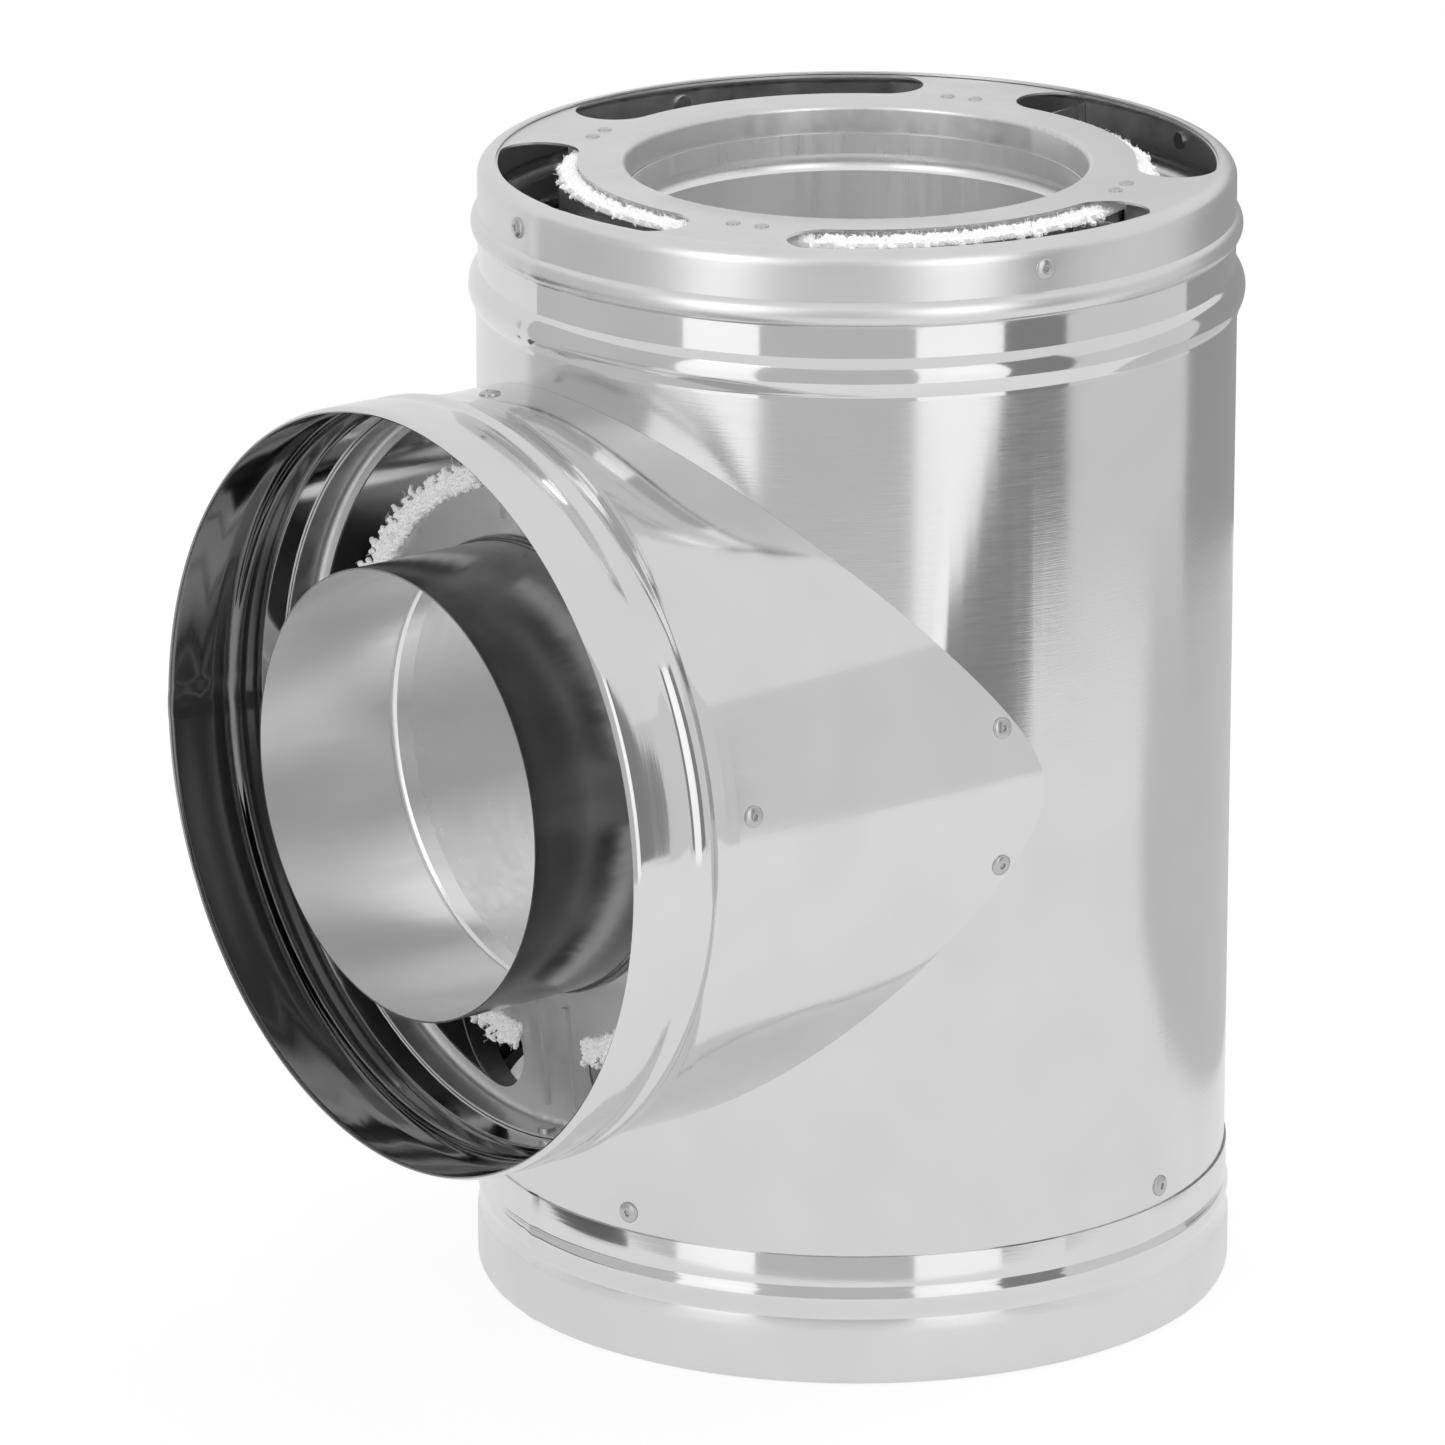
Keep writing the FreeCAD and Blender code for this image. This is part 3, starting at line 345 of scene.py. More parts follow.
def steel(name, tone, roughness, wave, streak_scale, haze=0.06, matt_from=None,
          inner_light=0.0, pipe=None, painted_inner_tone=None, lean=None, groove=0.00001):
    """Rolled stainless sheet. The wave is the height of its bends, in metres.

    matt_from gives two heights: the sheet turns matt on the way from one to the other.
    inner_light is the light that a pipe's inside would get from endless mirror bounces, of
    which only a few are followed. pipe gives the second axis across a pipe and where its
    middle is on it. Faces that look at the middle are inside and have the painted inner tone:
    painted shade where it is darker than the tone, painted light where it is lighter.
    lean gives two heights and a depth: its bump shades the sheet as if it drew in by the depth
    between the heights.
    groove is the depth of the streaks, in metres.
    """
    material, graph = empty_material(name)
    coordinates = graph.node("ShaderNodeTexCoord")
    place = graph.other(coordinates, "Object")
    split = graph.node("ShaderNodeSeparateXYZ", None, {0: place})
    height = graph.other(split, "Z")
    stretched = graph.node("ShaderNodeMapping", None, {"Vector": place, "Scale": streak_scale})
    streaks = graph.node("ShaderNodeTexNoise", None,
                         {"Vector": stretched, "Scale": 26.0, "Detail": 3.0, "Roughness": 0.62})
    marks = graph.node("ShaderNodeTexNoise", None,
                       {"Vector": place, "Scale": 34.0, "Detail": 1.0, "Roughness": 0.5})
    long_waves = graph.node("ShaderNodeTexNoise", None,
                            {"Vector": place, "Scale": 9.0, "Detail": 1.0, "Roughness": 0.4})
    shape = long_waves * wave
    if lean is not None:
        low, high, depth = lean
        shape = shape + graph.node("ShaderNodeMapRange", None, {
            "Value": height, "From Min": low, "From Max": high, "To Min": depth, "To Max": 0.0})
    waves = graph.node("ShaderNodeBump", None, {
        "Strength": 1.0, "Distance": 1.0, "Height": shape})
    grain = graph.node("ShaderNodeBump", None, {
        "Strength": 1.0, "Distance": groove, "Height": streaks, "Normal": waves})
    cloud = graph.node("ShaderNodeValToRGB", {"stops": [(0.35, 0.0), (0.75, 1.0)]}, {"Fac": marks})
    lit = grey(inner_light)
    level = tone
    if pipe is not None:
        across, middle = pipe
        facing = graph.node("ShaderNodeSeparateXYZ", None,
                            {0: graph.other(coordinates, "Normal")})
        second = (graph.other(split, across) - middle) * graph.other(facing, across)
        inside = (split * facing + second) < INSIDE_BELOW
        lit = graph.blend(inside, grey(0.0), grey(inner_light))
        # Inside faces take the painted inner tone: painted shade where it is darker, painted light
        # where it is lighter.
        level = tone + inside * (painted_inner_tone - tone)
    shade_of_grey = level * (1.0 - cloud * CLOUD_DARKENING)
    colour = graph.blend(shade_of_grey, grey(0.0), grey(1.0))
    rough = roughness + (streaks - 0.5) * (roughness * STREAKED_SHARE) + cloud * haze
    if matt_from is not None:
        rough = rough + MATT_ROUGHNESS * graph.node("ShaderNodeMapRange", None, {
            "Value": height, "From Min": matt_from[0], "From Max": matt_from[1]})
    shader = graph.node("ShaderNodeBsdfPrincipled", None, {
        "Base Color": colour, "Metallic": 1.0, "Roughness": rough, "Normal": grain,
        "Emission Color": lit, "Emission Strength": 1.0})
    graph.node("ShaderNodeOutputMaterial", None, {"Surface": shader})
    return material


ROUND_THE_PIPE = (1, 1, 14)
FINE_ROUND_THE_PIPE = (3, 3, 90)
ALONG_THE_RUN = (12, 12, 0.6)
ALONG_THE_BRANCH = (12, 0.6, 12)
ROUND_THE_BRANCH = (1, 14, 1)
ALL_WAYS = (6, 6, 6)
ON_RIVETS = (4, 4, 4)
BRANCH_HEIGHT = 0.202
# A lighter tone for the insides of spigots: painted light in place of the mirror bounces that
# aren't followed.
LIGHTENED_INSIDE_TONE = 0.78
casing_steel = steel("casing_steel", 0.74, 0.15, 0.0011, FINE_ROUND_THE_PIPE, 0.015,
                     groove=0.000016)
branch_steel = steel("branch_steel", 0.76, 0.08, 0.0013, ALONG_THE_BRANCH, 0.03)
top_band_steel = steel("top_band_steel", 0.76, 0.07, 0.0006, ROUND_THE_PIPE, 0.03,
                       (0.3605, 0.3655))
bottom_band_steel = steel("bottom_band_steel", 0.76, 0.07, 0.0006, ROUND_THE_PIPE, 0.03,
                          (0.0235, 0.0195), lean=(0.0325, 0.0465, 0.0026))
# Its inside faces are darkened to 0.3: painted shade inside the branch's mouth.
branch_band_steel = steel("branch_band_steel", 0.76, 0.07, 0.0008, ROUND_THE_BRANCH, 0.03,
                          pipe=("Z", BRANCH_HEIGHT), painted_inner_tone=0.3)
plate_steel = steel("plate_steel", 0.74, 0.34, 0.0008, ALL_WAYS)
# The liner's tone is a little lighter than the casing's: painted light in place of the mirror
# bounces that aren't followed.
liner_steel = steel("liner_steel", 0.8, 0.3, 0.0006, ALONG_THE_RUN, inner_light=0.05)
# The spigot's outside, deep in the branch's mouth, is darkened to 0.4: painted shade. Its inside
# has the lighter inside tone: painted light.
spigot_steel = steel("spigot_steel", 0.4, 0.19, 0.0005, ALONG_THE_BRANCH,
                     inner_light=0.07, pipe=("Z", BRANCH_HEIGHT), painted_inner_tone=LIGHTENED_INSIDE_TONE)
base_spigot_steel = steel("base_spigot_steel", 0.78, 0.2, 0.0005, ALONG_THE_RUN,
                          inner_light=0.05, pipe=("Y", 0.0), painted_inner_tone=LIGHTENED_INSIDE_TONE)
wall_steel = steel("wall_steel", 0.62, 0.3, 0.0008, ALONG_THE_RUN)
rivet_steel = steel("rivet_steel", 0.55, 0.24, 0.0002, ON_RIVETS)
print("steels:", len([m for m in bpy.data.materials if m.name.endswith("_steel")]))

# %% [markdown]
# The wool is a white ceramic blanket. It is matt, and light gets a little way into it, which
# a faint light of its own stands in for. What reads as wool is its surface: clumps a few
# millimetres across with fine fibre on them. Two noises of different size in one bump do
# that, and loose fibres are added as mesh later.

# %% Wool
WOOL_LIGHT = 0.1
wool, wool_graph = empty_material("ceramic_wool")
wool_place = wool_graph.other(wool_graph.node("ShaderNodeTexCoord"), "Object")
clumps = wool_graph.node("ShaderNodeTexNoise", None,
                         {"Vector": wool_place, "Scale": 210.0, "Detail": 5.0, "Roughness": 0.65})
fibres = wool_graph.node("ShaderNodeTexNoise", None,
                         {"Vector": wool_place, "Scale": 900.0, "Detail": 3.0, "Distortion": 1.5})
wool_bump = wool_graph.node("ShaderNodeBump", None, {
    "Strength": 0.9, "Distance": 0.0015, "Height": clumps * 0.7 + fibres * 0.3})
wool_colour = wool_graph.blend(clumps, grey(0.9), (0.98, 0.978, 0.97, 1))
wool_shader = wool_graph.node("ShaderNodeBsdfPrincipled", None, {
    "Base Color": wool_colour, "Roughness": 0.95, "Normal": wool_bump,
    "Emission Color": grey(WOOL_LIGHT), "Emission Strength": 1.0})
wool_graph.node("ShaderNodeOutputMaterial", None, {"Surface": wool_shader})
print("wool ready")

# %% [markdown]
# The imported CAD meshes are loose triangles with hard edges, fine for measuring but not for a
# mirror, where every facet would show. For each sheet piece a copy is merged and shaded
# smooth up to an edge angle, and it stands in for the node. The shape doesn't change.

# %% Smooth stand-ins for the sheet pieces
SMOOTH_BELOW = math.radians(32)
MERGE_BELOW = 0.000002


def settle(piece, material, *replaced):
    """Finish a piece: material, body, and the CAD nodes that it stands for."""
    piece.data.materials.clear()
    piece.data.materials.append(material)
    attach(piece, "root")
    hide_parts(*replaced)
    return piece


def shade(mesh, angle=SMOOTH_BELOW):
    """Smooth shading, with sharp edges where the sheet turns by more than the angle."""
    mesh.polygons.foreach_set("use_smooth", [True] * len(mesh.polygons))
    mesh.set_sharp_from_angle(angle=angle)


def smooth_copy(node, material, *extra_meshes):
    """A merged, smooth copy of a node, with any extra meshes added to it."""
    mesh = bpy.data.meshes.new(node + "_sheet")
    edit = bmesh.new()
    edit.from_mesh(cad_nodes[node].data)
    bmesh.ops.remove_doubles(edit, verts=edit.verts, dist=MERGE_BELOW)
    for extra in extra_meshes:
        edit.from_mesh(extra)
    edit.to_mesh(mesh)
    edit.free()
    if "custom_normal" in mesh.attributes:
        mesh.attributes.remove(mesh.attributes["custom_normal"])
    shade(mesh)
    return settle(put(node + "_sheet", mesh), material, node)


COPIED = {
    "casing_body": casing_steel,
    "branch_casing": branch_steel,
    "top_end_plate": plate_steel,
    "bottom_end_plate": plate_steel,
    "branch_end_plate": plate_steel,
    "flue_liner": liner_steel,
    "branch_liner": liner_steel,
    "mid_wall": wall_steel,
    "branch_mid_wall": wall_steel,
    "mid_wall_clips": wall_steel,
    "wall_spacers": wall_steel,
}
for node, material in COPIED.items():
    made = smooth_copy(node, material)
    print(made.name, len(made.data.polygons), "faces")

# %% [markdown]
# The rolled bands and the spigots are strips that run through rollers, which press beads and
# creases into them, and are then closed to a ring. What the rollers leave is one section all
# the way round. So each is drawn here as a list of points along the sheet, radius first and
# height second, in millimetres, with a bead as an arc. The sheet's back follows by its
# thickness.

# %% Outlines of the rolled sheet
WALL = 0.6
SMALL_BEAD_STEPS = 6
RIM_ROUND = 5


def bead(start, end, rise, steps=12):
    """Points of a round bead between two (radius, height) spots, rising outwards."""
    span = math.dist(start, end)
    radius = (span * span / 4 + rise * rise) / (2 * abs(rise))
    half = math.asin(min(span / 2 / radius, 1))
    points = []
    for step in range(steps + 1):
        turn = -half + 2 * half * step / steps
        share = (math.sin(turn) / math.sin(half) + 1) / 2
        lift = (math.cos(turn) - math.cos(half)) * radius * math.copysign(1, rise)
        points.append((start[0] + (end[0] - start[0]) * share + lift,
                       start[1] + (end[1] - start[1]) * share))
    return points


def sheet_outline(path):
    """Close an open path of (radius, height) points into the section of a sheet."""
    back = []
    for index, (radius, height) in enumerate(path):
        before = path[max(index - 1, 0)]
        after = path[min(index + 1, len(path) - 1)]
        along = Vector((after[0] - before[0], after[1] - before[1])).normalized()
        back.append((radius - along.y * WALL, height + along.x * WALL))
    return path + back[::-1]


def outline_object(name, points, middle=0.0, closed=False):
    """A curve through (radius, height) points in millimetres, ready to be swept."""
    curve = bpy.data.curves.new(name, "CURVE")
    curve.dimensions = "3D"
    strand = curve.splines.new("POLY")
    strand.points.add(len(points) - 1)
    for point, (radius, height) in zip(strand.points, points):
        point.co = ((radius - middle) * MM, -height * MM, 0, 1)
    strand.use_cyclic_u = closed
    return put(name, curve)


SKIRT = (bead((127.5, 0.0), (128.7, 3.0), 0.28, SMALL_BEAD_STEPS)
         + [(128.7, 8.0), (128.7, 14.0), (128.68, 18.0), (128.5, 19.6)]
         + [(127.9, 22.4), (127.55, 24.2)]
         + bead((127.5, 24.8), (127.5, 32.6), 1.0)[1:])
RUN_SKIRT = SKIRT + [(127.62, 34.2), (127.7, 35.6), (127.7, 40.0), (127.7, 44.5)]
BRANCH_SKIRT = SKIRT + [(126.6, 34.2), (125.95, 35.5), (125.9, 40.0), (125.9, 44.5)]
TOP_BAND = ([(127.7, 337.6), (127.7, 338.8)]
            + bead((127.7, 338.9), (127.7, 350.3), 1.97, 16)
            + [(127.0, 350.9), (126.4, 351.6), (126.4, 356.0)]
            + bead((126.4, 361.8), (126.4, 370.2), 2.27, 16)
            + [(126.4, 374.0), (126.4, 378.0)]
            + [(121.4 + RIM_ROUND * math.cos(math.radians(turn)),
                381.6 + RIM_ROUND * math.sin(math.radians(turn)))
               for turn in range(0, 91, 9)]
            + [(120.2, 386.6)])
SPIGOT = ([(75.7, 0.5), (75.7, 20.0), (75.7, 40.0)]
          + bead((75.7, 53.6), (75.7, 56.8), 1.18, 8)
          + [(75.7, 60.0), (75.7, 63.0)])
print("outlines:", len(RUN_SKIRT), len(BRANCH_SKIRT), len(TOP_BAND), len(SPIGOT), "points")

# %% [markdown]
# The tree that closes a strip to a ring. Curve to Mesh carries the outline round a circle. A
# lap seam, where the strip's ends overlap, is a step outwards over a few degrees, and a slow
# noise lets the sheet wander, inwards only, as a hand-fed one does. A tree is used because
# the same rule makes five pieces, and it is baked to a plain mesh each time.

# %% A tree that sweeps an outline round a circle


def geometry_tree(name, inputs):
    """A Geometry Nodes group with named inputs and one geometry output."""
    tree = bpy.data.node_groups.new(name, "GeometryNodeTree")
    tree.interface.new_socket("Geometry", in_out="OUTPUT", socket_type="NodeSocketGeometry")
    for label, kind, value in inputs:
        made = tree.interface.new_socket(label, in_out="INPUT", socket_type="NodeSocket" + kind)
        if value is not None:
            made.default_value = value
    graph = Graph(tree)
    entry = graph.node("NodeGroupInput")
    graph.inputs = {label: graph.other(entry, label) for label, _, _ in inputs}
    return graph, graph.inputs


def close_tree(graph, geometry):
    """Every tree ends the same way: real geometry, then a material."""
    real = graph.node("GeometryNodeRealizeInstances", None, {"Geometry": geometry})
    finish = graph.node("GeometryNodeSetMaterial", None,
                        {"Geometry": real, "Material": graph.inputs["Material"]})
    graph.node("NodeGroupOutput", None, {"Geometry": finish})


def bake(name, graph, values, place=None):
    """Run a tree once on an empty mesh and keep the result as a plain mesh."""
    blank = put(name, bpy.data.meshes.new(name))
    modifier = blank.modifiers.new("tree", "NODES")
    modifier.node_group = graph.tree
    names = {item.name: item.identifier for item in graph.tree.interface.items_tree
             if item.in_out == "INPUT"}
    for label, value in values.items():
        modifier[names[label]] = value
    view = bpy.context.evaluated_depsgraph_get()
    mesh = bpy.data.meshes.new_from_object(blank.evaluated_get(view))
    blank.modifiers.clear()
    old = blank.data
    blank.data = mesh
    mesh.name = name
    bpy.data.meshes.remove(old)
    if place is not None:
        mesh.transform(place)
    return blank


spin, port = geometry_tree("spun_sheet", [
    ("Outline", "Object", None), ("Middle Radius", "Float", 0.127), ("Segments", "Int", 288),
    ("Seam Angle", "Float", 0.0), ("Seam Width", "Float", 0.06), ("Seam Rise", "Float", 0.0004),
    ("Wander", "Float", 0.0002), ("Material", "Material", None)])
ring = spin.node("GeometryNodeCurvePrimitiveCircle", None,
                 {"Resolution": port["Segments"], "Radius": port["Middle Radius"]})
section = spin.node("GeometryNodeObjectInfo", None, {"Object": port["Outline"]}, "Geometry")
swept = spin.node("GeometryNodeCurveToMesh", None, {"Curve": ring, "Profile Curve": section})
spot = spin.node("ShaderNodeSeparateXYZ", None, {0: spin.node("GeometryNodeInputPosition")})
spot_y = spin.other(spot, "Y")
angle = spin.node("ShaderNodeMath", {"operation": "ARCTAN2"}, {0: spot_y, 1: spot})
apart = abs(spin.node("ShaderNodeMath", {"operation": "WRAP"},
                      {0: angle - port["Seam Angle"], 1: -math.pi, 2: math.pi}))
lap = (apart < port["Seam Width"] * 0.5) * port["Seam Rise"]
slow = spin.node("ShaderNodeTexNoise", None,
                 {"Vector": spin.node("GeometryNodeInputPosition"), "Scale": 14.0, "Detail": 1.0})
outward = lap + (slow - 0.5) * port["Wander"] - port["Wander"] * 0.5
shift = spin.xyz(angle.cosine() * outward, angle.sine() * outward, 0.0)
spun = spin.node("GeometryNodeSetPosition", None, {"Geometry": swept, "Offset": shift})
close_tree(spin, spun)
print("spun sheet tree:", len(spin.tree.nodes), "nodes")

# %% [markdown]
# Three bands and two spigots. The bands are what the next pipe grips: the top one with its
# rounded rim and two beads, and the same skirt at the foot and on the branch. The branch's
# pieces are made upright like the others and then turned, so that one tree serves both.
# The run's bands have their lap seams on the branch's side, above and below it.

# %% Bands and spigots
BRANCH_REACH = 0.1935
SEAM_RISE = 0.00035
WANDER = 0.0001
SMOOTH_BAND_BELOW = math.radians(40)
TURN_TO_BRANCH = (Matrix.Translation((0, -BRANCH_REACH, BRANCH_HEIGHT))
                  @ Matrix.Rotation(-math.pi / 2, 4, "X"))


def spun_piece(name, outline, material, node, seam=(0.0, 0.0), place=None):
    """Sweep an outline, turn its faces outwards and stand it in for a node."""
    middle = sum(radius for radius, _ in outline) / len(outline)
    holder = outline_object(name + "_outline", sheet_outline(outline), middle, True)
    piece = bake(name, spin, {
        "Outline": holder, "Middle Radius": middle * MM, "Seam Angle": math.radians(seam[0]),
        "Seam Rise": seam[1], "Wander": WANDER, "Material": material}, place)
    bpy.data.objects.remove(holder)
    edit = bmesh.new()
    edit.from_mesh(piece.data)
    bmesh.ops.recalc_face_normals(edit, faces=edit.faces)
    edit.to_mesh(piece.data)
    edit.free()
    shade(piece.data, SMOOTH_BAND_BELOW)
    return settle(piece, material, node)


bands = [
    spun_piece("top_band_rolled", TOP_BAND, top_band_steel, "top_band", (-94, SEAM_RISE)),
    spun_piece("bottom_band_rolled", RUN_SKIRT, bottom_band_steel, "bottom_band", (-97, SEAM_RISE)),
    spun_piece("branch_band_rolled", BRANCH_SKIRT, branch_band_steel, "branch_band",
               (180, SEAM_RISE), TURN_TO_BRANCH),
    spun_piece("bottom_spigot_rolled", SPIGOT, base_spigot_steel, "bottom_flue_spigot"),
    spun_piece("branch_spigot_rolled", SPIGOT, spigot_steel, "branch_flue_spigot",
               (180, 0.0), TURN_TO_BRANCH),
]
for piece in bands:
    print(piece.name, len(piece.data.polygons), "faces")

# %% [markdown]
# Where the blanket was cut and pushed into place, it shows through the slots as a torn white
# edge. A tree scatters clumps along the inner side of every slot and roughens them with a
# noise, then lays loose fibres over them. Many small clumps overlap into one ragged crescent,
# which is how the real edge comes about too.

# %% A tree for torn wool
torn, cue = geometry_tree("torn_wool", [
    ("Clumps", "Int", 2200), ("Fibres", "Int", 1600), ("Inner Radius", "Float", 0.093),
    ("Width", "Float", 0.006), ("Height", "Float", 0.383), ("Drop", "Float", 0.002),
    ("First Angle", "Float", 0.0), ("Sweep", "Float", 0.6), ("Clump Size", "Float", 0.0013),
    ("Material", "Material", None)])
SLOTS_PER_PLATE = 4
TEAR_SCALE = 9.0
TEAR_DEPTH = 1.7
ROUGHEN_SCALE = 900.0
ROUGHEN_DEPTH = 0.0012
FIBRE_RADIUS = 0.00008


def chance(low, high, seed):
    """A random number for each element, with a fixed seed."""
    return torn.node("FunctionNodeRandomValue", {"data_type": "FLOAT"},
                     {2: low, 3: high, 8: seed}, 1)


def scattered(count, seed):
    """Points along the four slots, thicker towards the inner side."""
    dots = torn.node("GeometryNodePoints", None, {"Count": count})
    slot = torn.node("GeometryNodeInputIndex").maths(
        "MODULO", torn.node("GeometryNodeInputIndex"), SLOTS_PER_PLATE)
    middle = cue["First Angle"] + slot * (math.tau / SLOTS_PER_PLATE)
    heading = middle + chance(-1.0, 1.0, seed) * cue["Sweep"]
    tear = torn.node("ShaderNodeTexNoise", {"noise_dimensions": "1D"},
                     {"W": heading * TEAR_SCALE, "Detail": 3.0})
    spread = chance(0.0, 1.0, seed + 1) * (tear * TEAR_DEPTH)
    radius = cue["Inner Radius"] + cue["Width"] * spread
    level = cue["Height"] - cue["Drop"] * spread
    spot = torn.xyz(heading.cosine() * radius, heading.sine() * radius, level)
    return torn.node("GeometryNodeSetPosition", None, {"Geometry": dots, "Position": spot})


def turned(seed):
    """A random turn about all three axes."""
    return torn.xyz(chance(-math.pi, math.pi, seed), chance(-math.pi, math.pi, seed + 1),
                    chance(-math.pi, math.pi, seed + 2))


clump = torn.node("GeometryNodeMeshIcoSphere", None,
                  {"Radius": cue["Clump Size"], "Subdivisions": 1})
clumps_placed = torn.node("GeometryNodeInstanceOnPoints", None, {
    "Points": scattered(cue["Clumps"], 11), "Instance": clump, "Rotation": turned(21),
    "Scale": torn.xyz(chance(0.6, 1.5, 31), chance(0.5, 1.1, 32), chance(0.5, 1.2, 33))})
clumps_real = torn.node("GeometryNodeRealizeInstances", None, {"Geometry": clumps_placed})
rough_noise = torn.node("ShaderNodeTexNoise", None, {
    "Vector": torn.node("GeometryNodeInputPosition"), "Scale": ROUGHEN_SCALE, "Detail": 2.0})
push = torn.node("ShaderNodeVectorMath", {"operation": "SCALE"}, {
    0: torn.node("GeometryNodeInputNormal"), "Scale": (rough_noise - 0.5) * ROUGHEN_DEPTH})
tufts = torn.node("GeometryNodeSetPosition", None, {"Geometry": clumps_real, "Offset": push})
thread = torn.node("GeometryNodeCurvePrimitiveBezierSegment", None, {
    "Resolution": 6, "Start": (-0.0024, 0, 0), "Start Handle": (-0.001, 0.0014, 0.0005),
    "End Handle": (0.001, -0.0008, 0.0011), "End": (0.0024, 0.0004, 0)})
thin = torn.node("GeometryNodeCurvePrimitiveCircle", None,
                 {"Resolution": 3, "Radius": FIBRE_RADIUS})
hair = torn.node("GeometryNodeCurveToMesh", None,
                 {"Curve": thread, "Profile Curve": thin, "Fill Caps": True})
hairs = torn.node("GeometryNodeInstanceOnPoints", None, {
    "Points": scattered(cue["Fibres"], 51), "Instance": hair, "Rotation": turned(61)})
joined = torn.node("GeometryNodeJoinGeometry")
for part in (tufts, hairs):
    torn.tree.links.new(part.output, joined.output.node.inputs[0])
close_tree(torn, joined)
print("torn wool tree:", len(torn.tree.nodes), "nodes")

# %% [markdown]
# The blanket itself is the CAD's solid ring between the pipes. The torn edge is one piece of
# blanket with it, so both become one mesh. The branch's edge is made upright like the run's,
# then mirrored, because it faces the other way, and laid into the branch's mouth.

# %% Wool in the run and in the branch
TOP_SLOT = math.radians(73.7)
BRANCH_SLOT = math.radians(38.4)
MIRROR_UP = Matrix.Scale(-1, 4, (0, 0, 1))
top_edge = bake("top_torn_edge", torn, {
    "Height": 0.3832, "First Angle": TOP_SLOT, "Material": wool})
branch_edge = bake("branch_torn_edge", torn, {
    "Height": -0.0562, "Drop": -0.002, "Width": 0.0085, "First Angle": BRANCH_SLOT,
    "Clumps": 3200, "Fibres": 2200, "Material": wool})
branch_edge.data.transform(TURN_TO_BRANCH @ MIRROR_UP)
branch_edge.data.flip_normals()
wool_pieces = [smooth_copy("run_wool", wool, top_edge.data),
               smooth_copy("branch_wool", wool, branch_edge.data)]
for edge in (top_edge, branch_edge):
    bpy.data.objects.remove(edge)
for piece in wool_pieces:
    print(piece.name, len(piece.data.polygons), "faces")

# %% [markdown]
# The rivets are blind rivets, set from outside: a low domed flange with a hole in the middle
# where the pulled pin broke off. They come in rings, evenly spaced, so one tree makes a ring
# of any count. It sweeps the head's outline round a tiny circle, closes the pole by merging,
# and stands one head on each point of the ring.

# %% A tree for a ring of rivets
rivets, hook = geometry_tree("rivet_ring", [
    ("Outline", "Object", None), ("Count", "Int", 4), ("Ring Radius", "Float", 0.127),
    ("Height", "Float", 0.05), ("First Angle", "Float", 0.0), ("Step", "Float", math.pi / 2),
    ("Tilt", "Float", math.pi / 2), ("Material", "Material", None)])
TINY = 0.00002
CLOSE_BELOW = TINY * 2.2
HEAD_SEGMENTS = 28
pin = rivets.node("GeometryNodeCurvePrimitiveCircle", None,
                  {"Resolution": HEAD_SEGMENTS, "Radius": TINY})
head_outline = rivets.node("GeometryNodeObjectInfo", None, {"Object": hook["Outline"]}, "Geometry")
open_head = rivets.node("GeometryNodeCurveToMesh", None,
                        {"Curve": pin, "Profile Curve": head_outline})
head = rivets.node("GeometryNodeMergeByDistance", None,
                   {"Geometry": open_head, "Distance": CLOSE_BELOW})
points = rivets.node("GeometryNodePoints", None, {"Count": hook["Count"]})
turn = rivets.node("GeometryNodeInputIndex") * hook["Step"] + hook["First Angle"]
stand = rivets.xyz(turn.cosine() * hook["Ring Radius"], turn.sine() * hook["Ring Radius"],
                   hook["Height"])
ringed = rivets.node("GeometryNodeSetPosition", None, {"Geometry": points, "Position": stand})
upright = rivets.xyz(0.0, hook["Tilt"], turn)
placed = rivets.node("GeometryNodeInstanceOnPoints", None,
                     {"Points": ringed, "Instance": head, "Rotation": upright})
close_tree(rivets, placed)
print("rivet tree:", len(rivets.tree.nodes), "nodes")

# %% [markdown]
# Five sets of rivets, each one node of the CAD. The two outlines are half sections of a
# head: the dome has the hole in its middle and the swollen tail behind the sheet, and the
# button is a small flat head on the top plate's arms. The rings sit where the CAD has them.

# %% Rivet rings
DOME_EDGE = 3.6
DOME_FOOT = 0.25
DOME_RISE = 1.05
BUTTON_EDGE = 2.4
BUTTON_FOOT = 0.2
BUTTON_RISE = 0.4
SMOOTH_HEAD_BELOW = math.radians(50)


def arc(edge, foot, rise, degrees):
    """Points of a head's rounded top, from its edge towards its middle."""
    return [(edge * math.cos(math.radians(turn)), foot + rise * math.sin(math.radians(turn)))
            for turn in degrees]


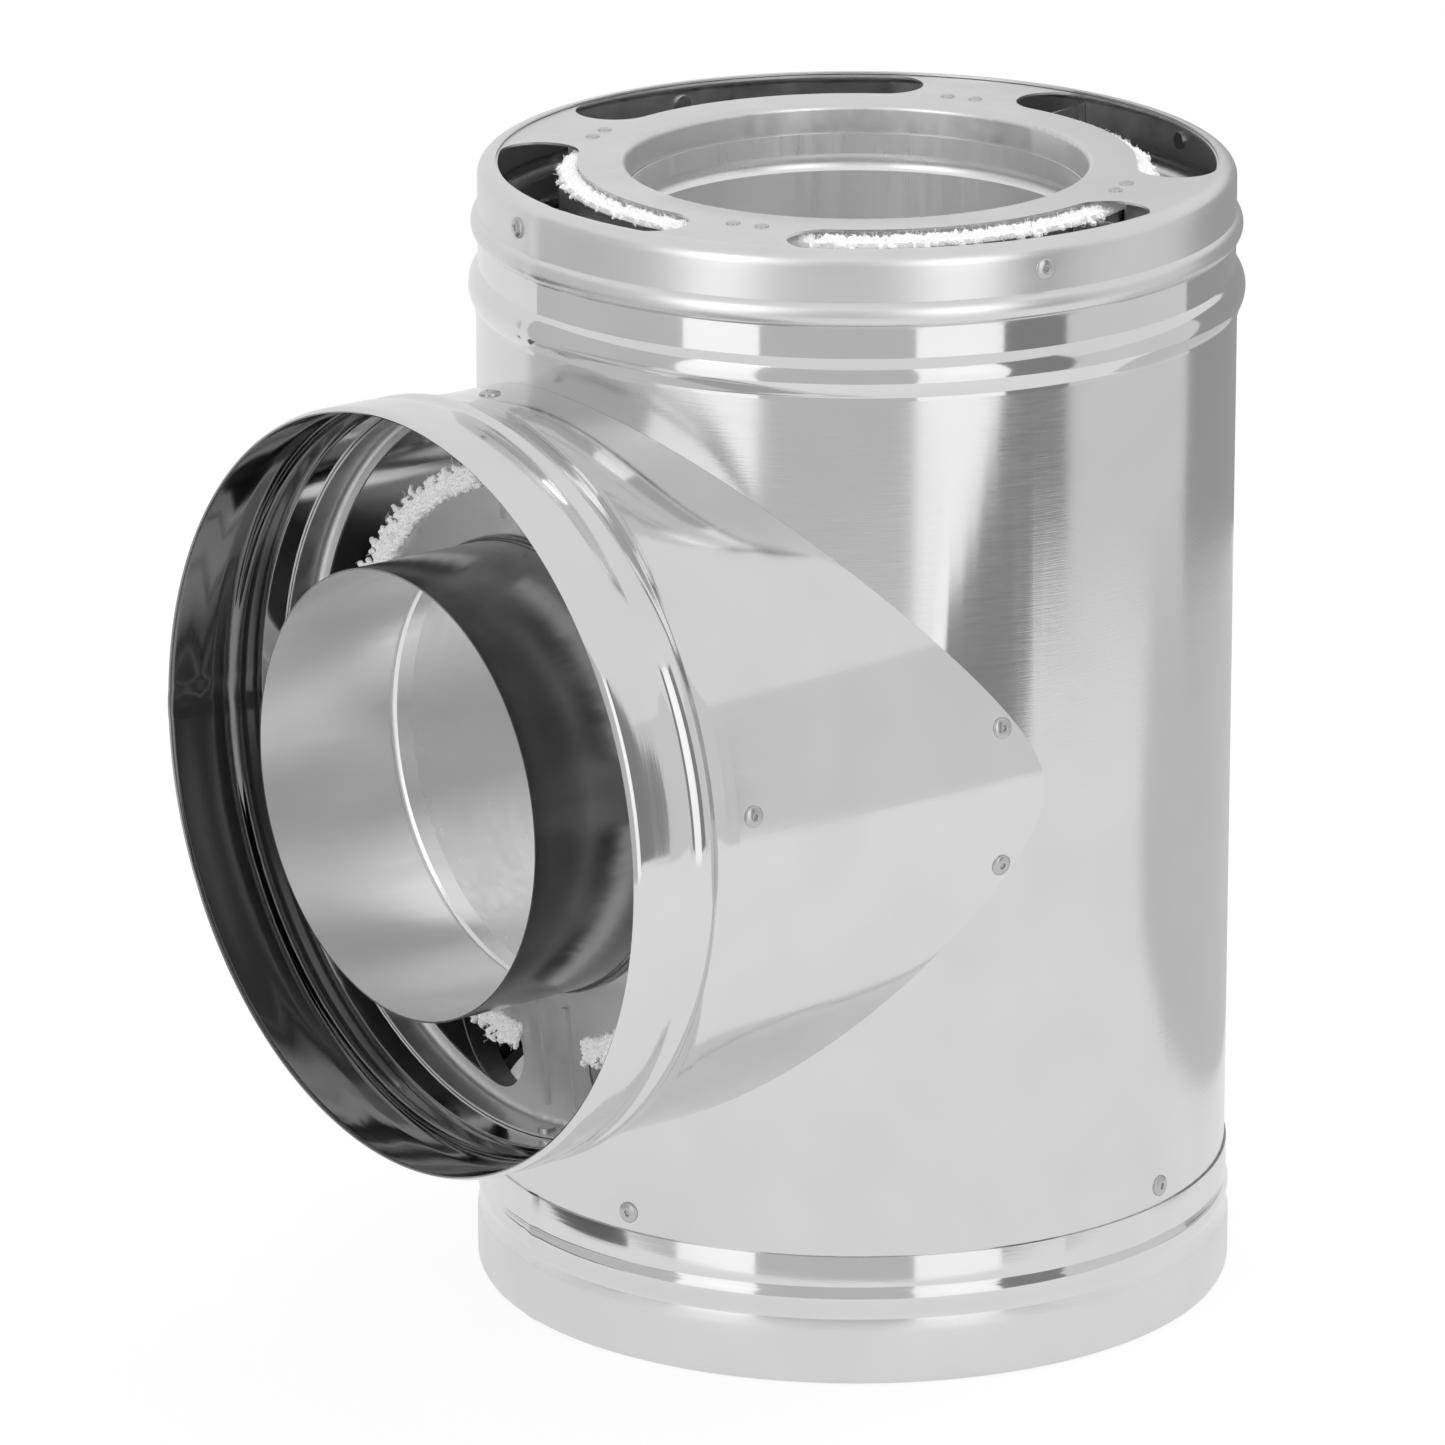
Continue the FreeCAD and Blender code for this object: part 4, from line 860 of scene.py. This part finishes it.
DOME = ([(0, -2.6), (2.9, -2.6), (2.9, -1.6), (2.0, -1.6), (2.0, -0.15),
         (DOME_EDGE, -0.15), (DOME_EDGE, DOME_FOOT)]
        + arc(DOME_EDGE, DOME_FOOT, DOME_RISE, range(10, 61, 10))
        + [(1.35, 1.26), (1.1, 1.15), (1.0, 0.9), (0.9, 0.45), (0.0, 0.38)])
BUTTON = ([(0, -0.05), (BUTTON_EDGE, -0.05), (BUTTON_EDGE, BUTTON_FOOT)]
          + arc(BUTTON_EDGE, BUTTON_FOOT, BUTTON_RISE, range(15, 76, 15)) + [(0.0, 0.6)])
dome = outline_object("rivet_outline", DOME)
button = outline_object("button_outline", BUTTON)


def rivet_piece(name, node, rings, outline, place=None):
    """Join the rings that one node stands for."""
    made = []
    for number, values in enumerate(rings):
        values = {"Outline": outline, "Material": rivet_steel, **values}
        made.append(bake(f"{name}_{number}", rivets, values, place))
    edit = bmesh.new()
    for part in made:
        edit.from_mesh(part.data)
        bpy.data.objects.remove(part)
    bmesh.ops.recalc_face_normals(edit, faces=edit.faces)
    mesh = bpy.data.meshes.new(name)
    edit.to_mesh(mesh)
    edit.free()
    shade(mesh, SMOOTH_HEAD_BELOW)
    settle(put(name, mesh), rivet_steel, node)


def ring_of(radius, height, first, count=4, step=90.0, tilt=90.0):
    """Values for one ring, from millimetres and degrees."""
    return {"Ring Radius": radius * MM, "Height": height * MM, "First Angle": math.radians(first),
            "Count": count, "Step": math.radians(step), "Tilt": math.radians(tilt)}


HALF_SADDLE_PAIR = 10.8
HALF_ARM_PAIR = math.degrees(math.atan2(5.0, 93.8))
rivet_piece("top_rivet_heads", "top_rivets", [ring_of(126.4, 377.8, -10.4)], dome)
rivet_piece("bottom_rivet_heads", "bottom_rivets", [ring_of(127.0, 51.0, 15.0)], dome)
rivet_piece("branch_rivet_heads", "branch_rivets", [ring_of(125.2, 51.0, -6.6)], dome,
            TURN_TO_BRANCH)
saddle_pairs = [ring_of(125.2, 155.5, side - HALF_SADDLE_PAIR, 2, 2 * HALF_SADDLE_PAIR)
                for side in (0, 180)]
rivet_piece("saddle_rivet_heads", "saddle_rivets", saddle_pairs, dome, TURN_TO_BRANCH)
arm_pairs = [ring_of(93.9, 385.8, 28.7 + side * HALF_ARM_PAIR, tilt=0.0) for side in (-1, 1)]
rivet_piece("arm_rivet_heads", "arm_rivets", arm_pairs, button)
bpy.data.objects.remove(dome)
bpy.data.objects.remove(button)
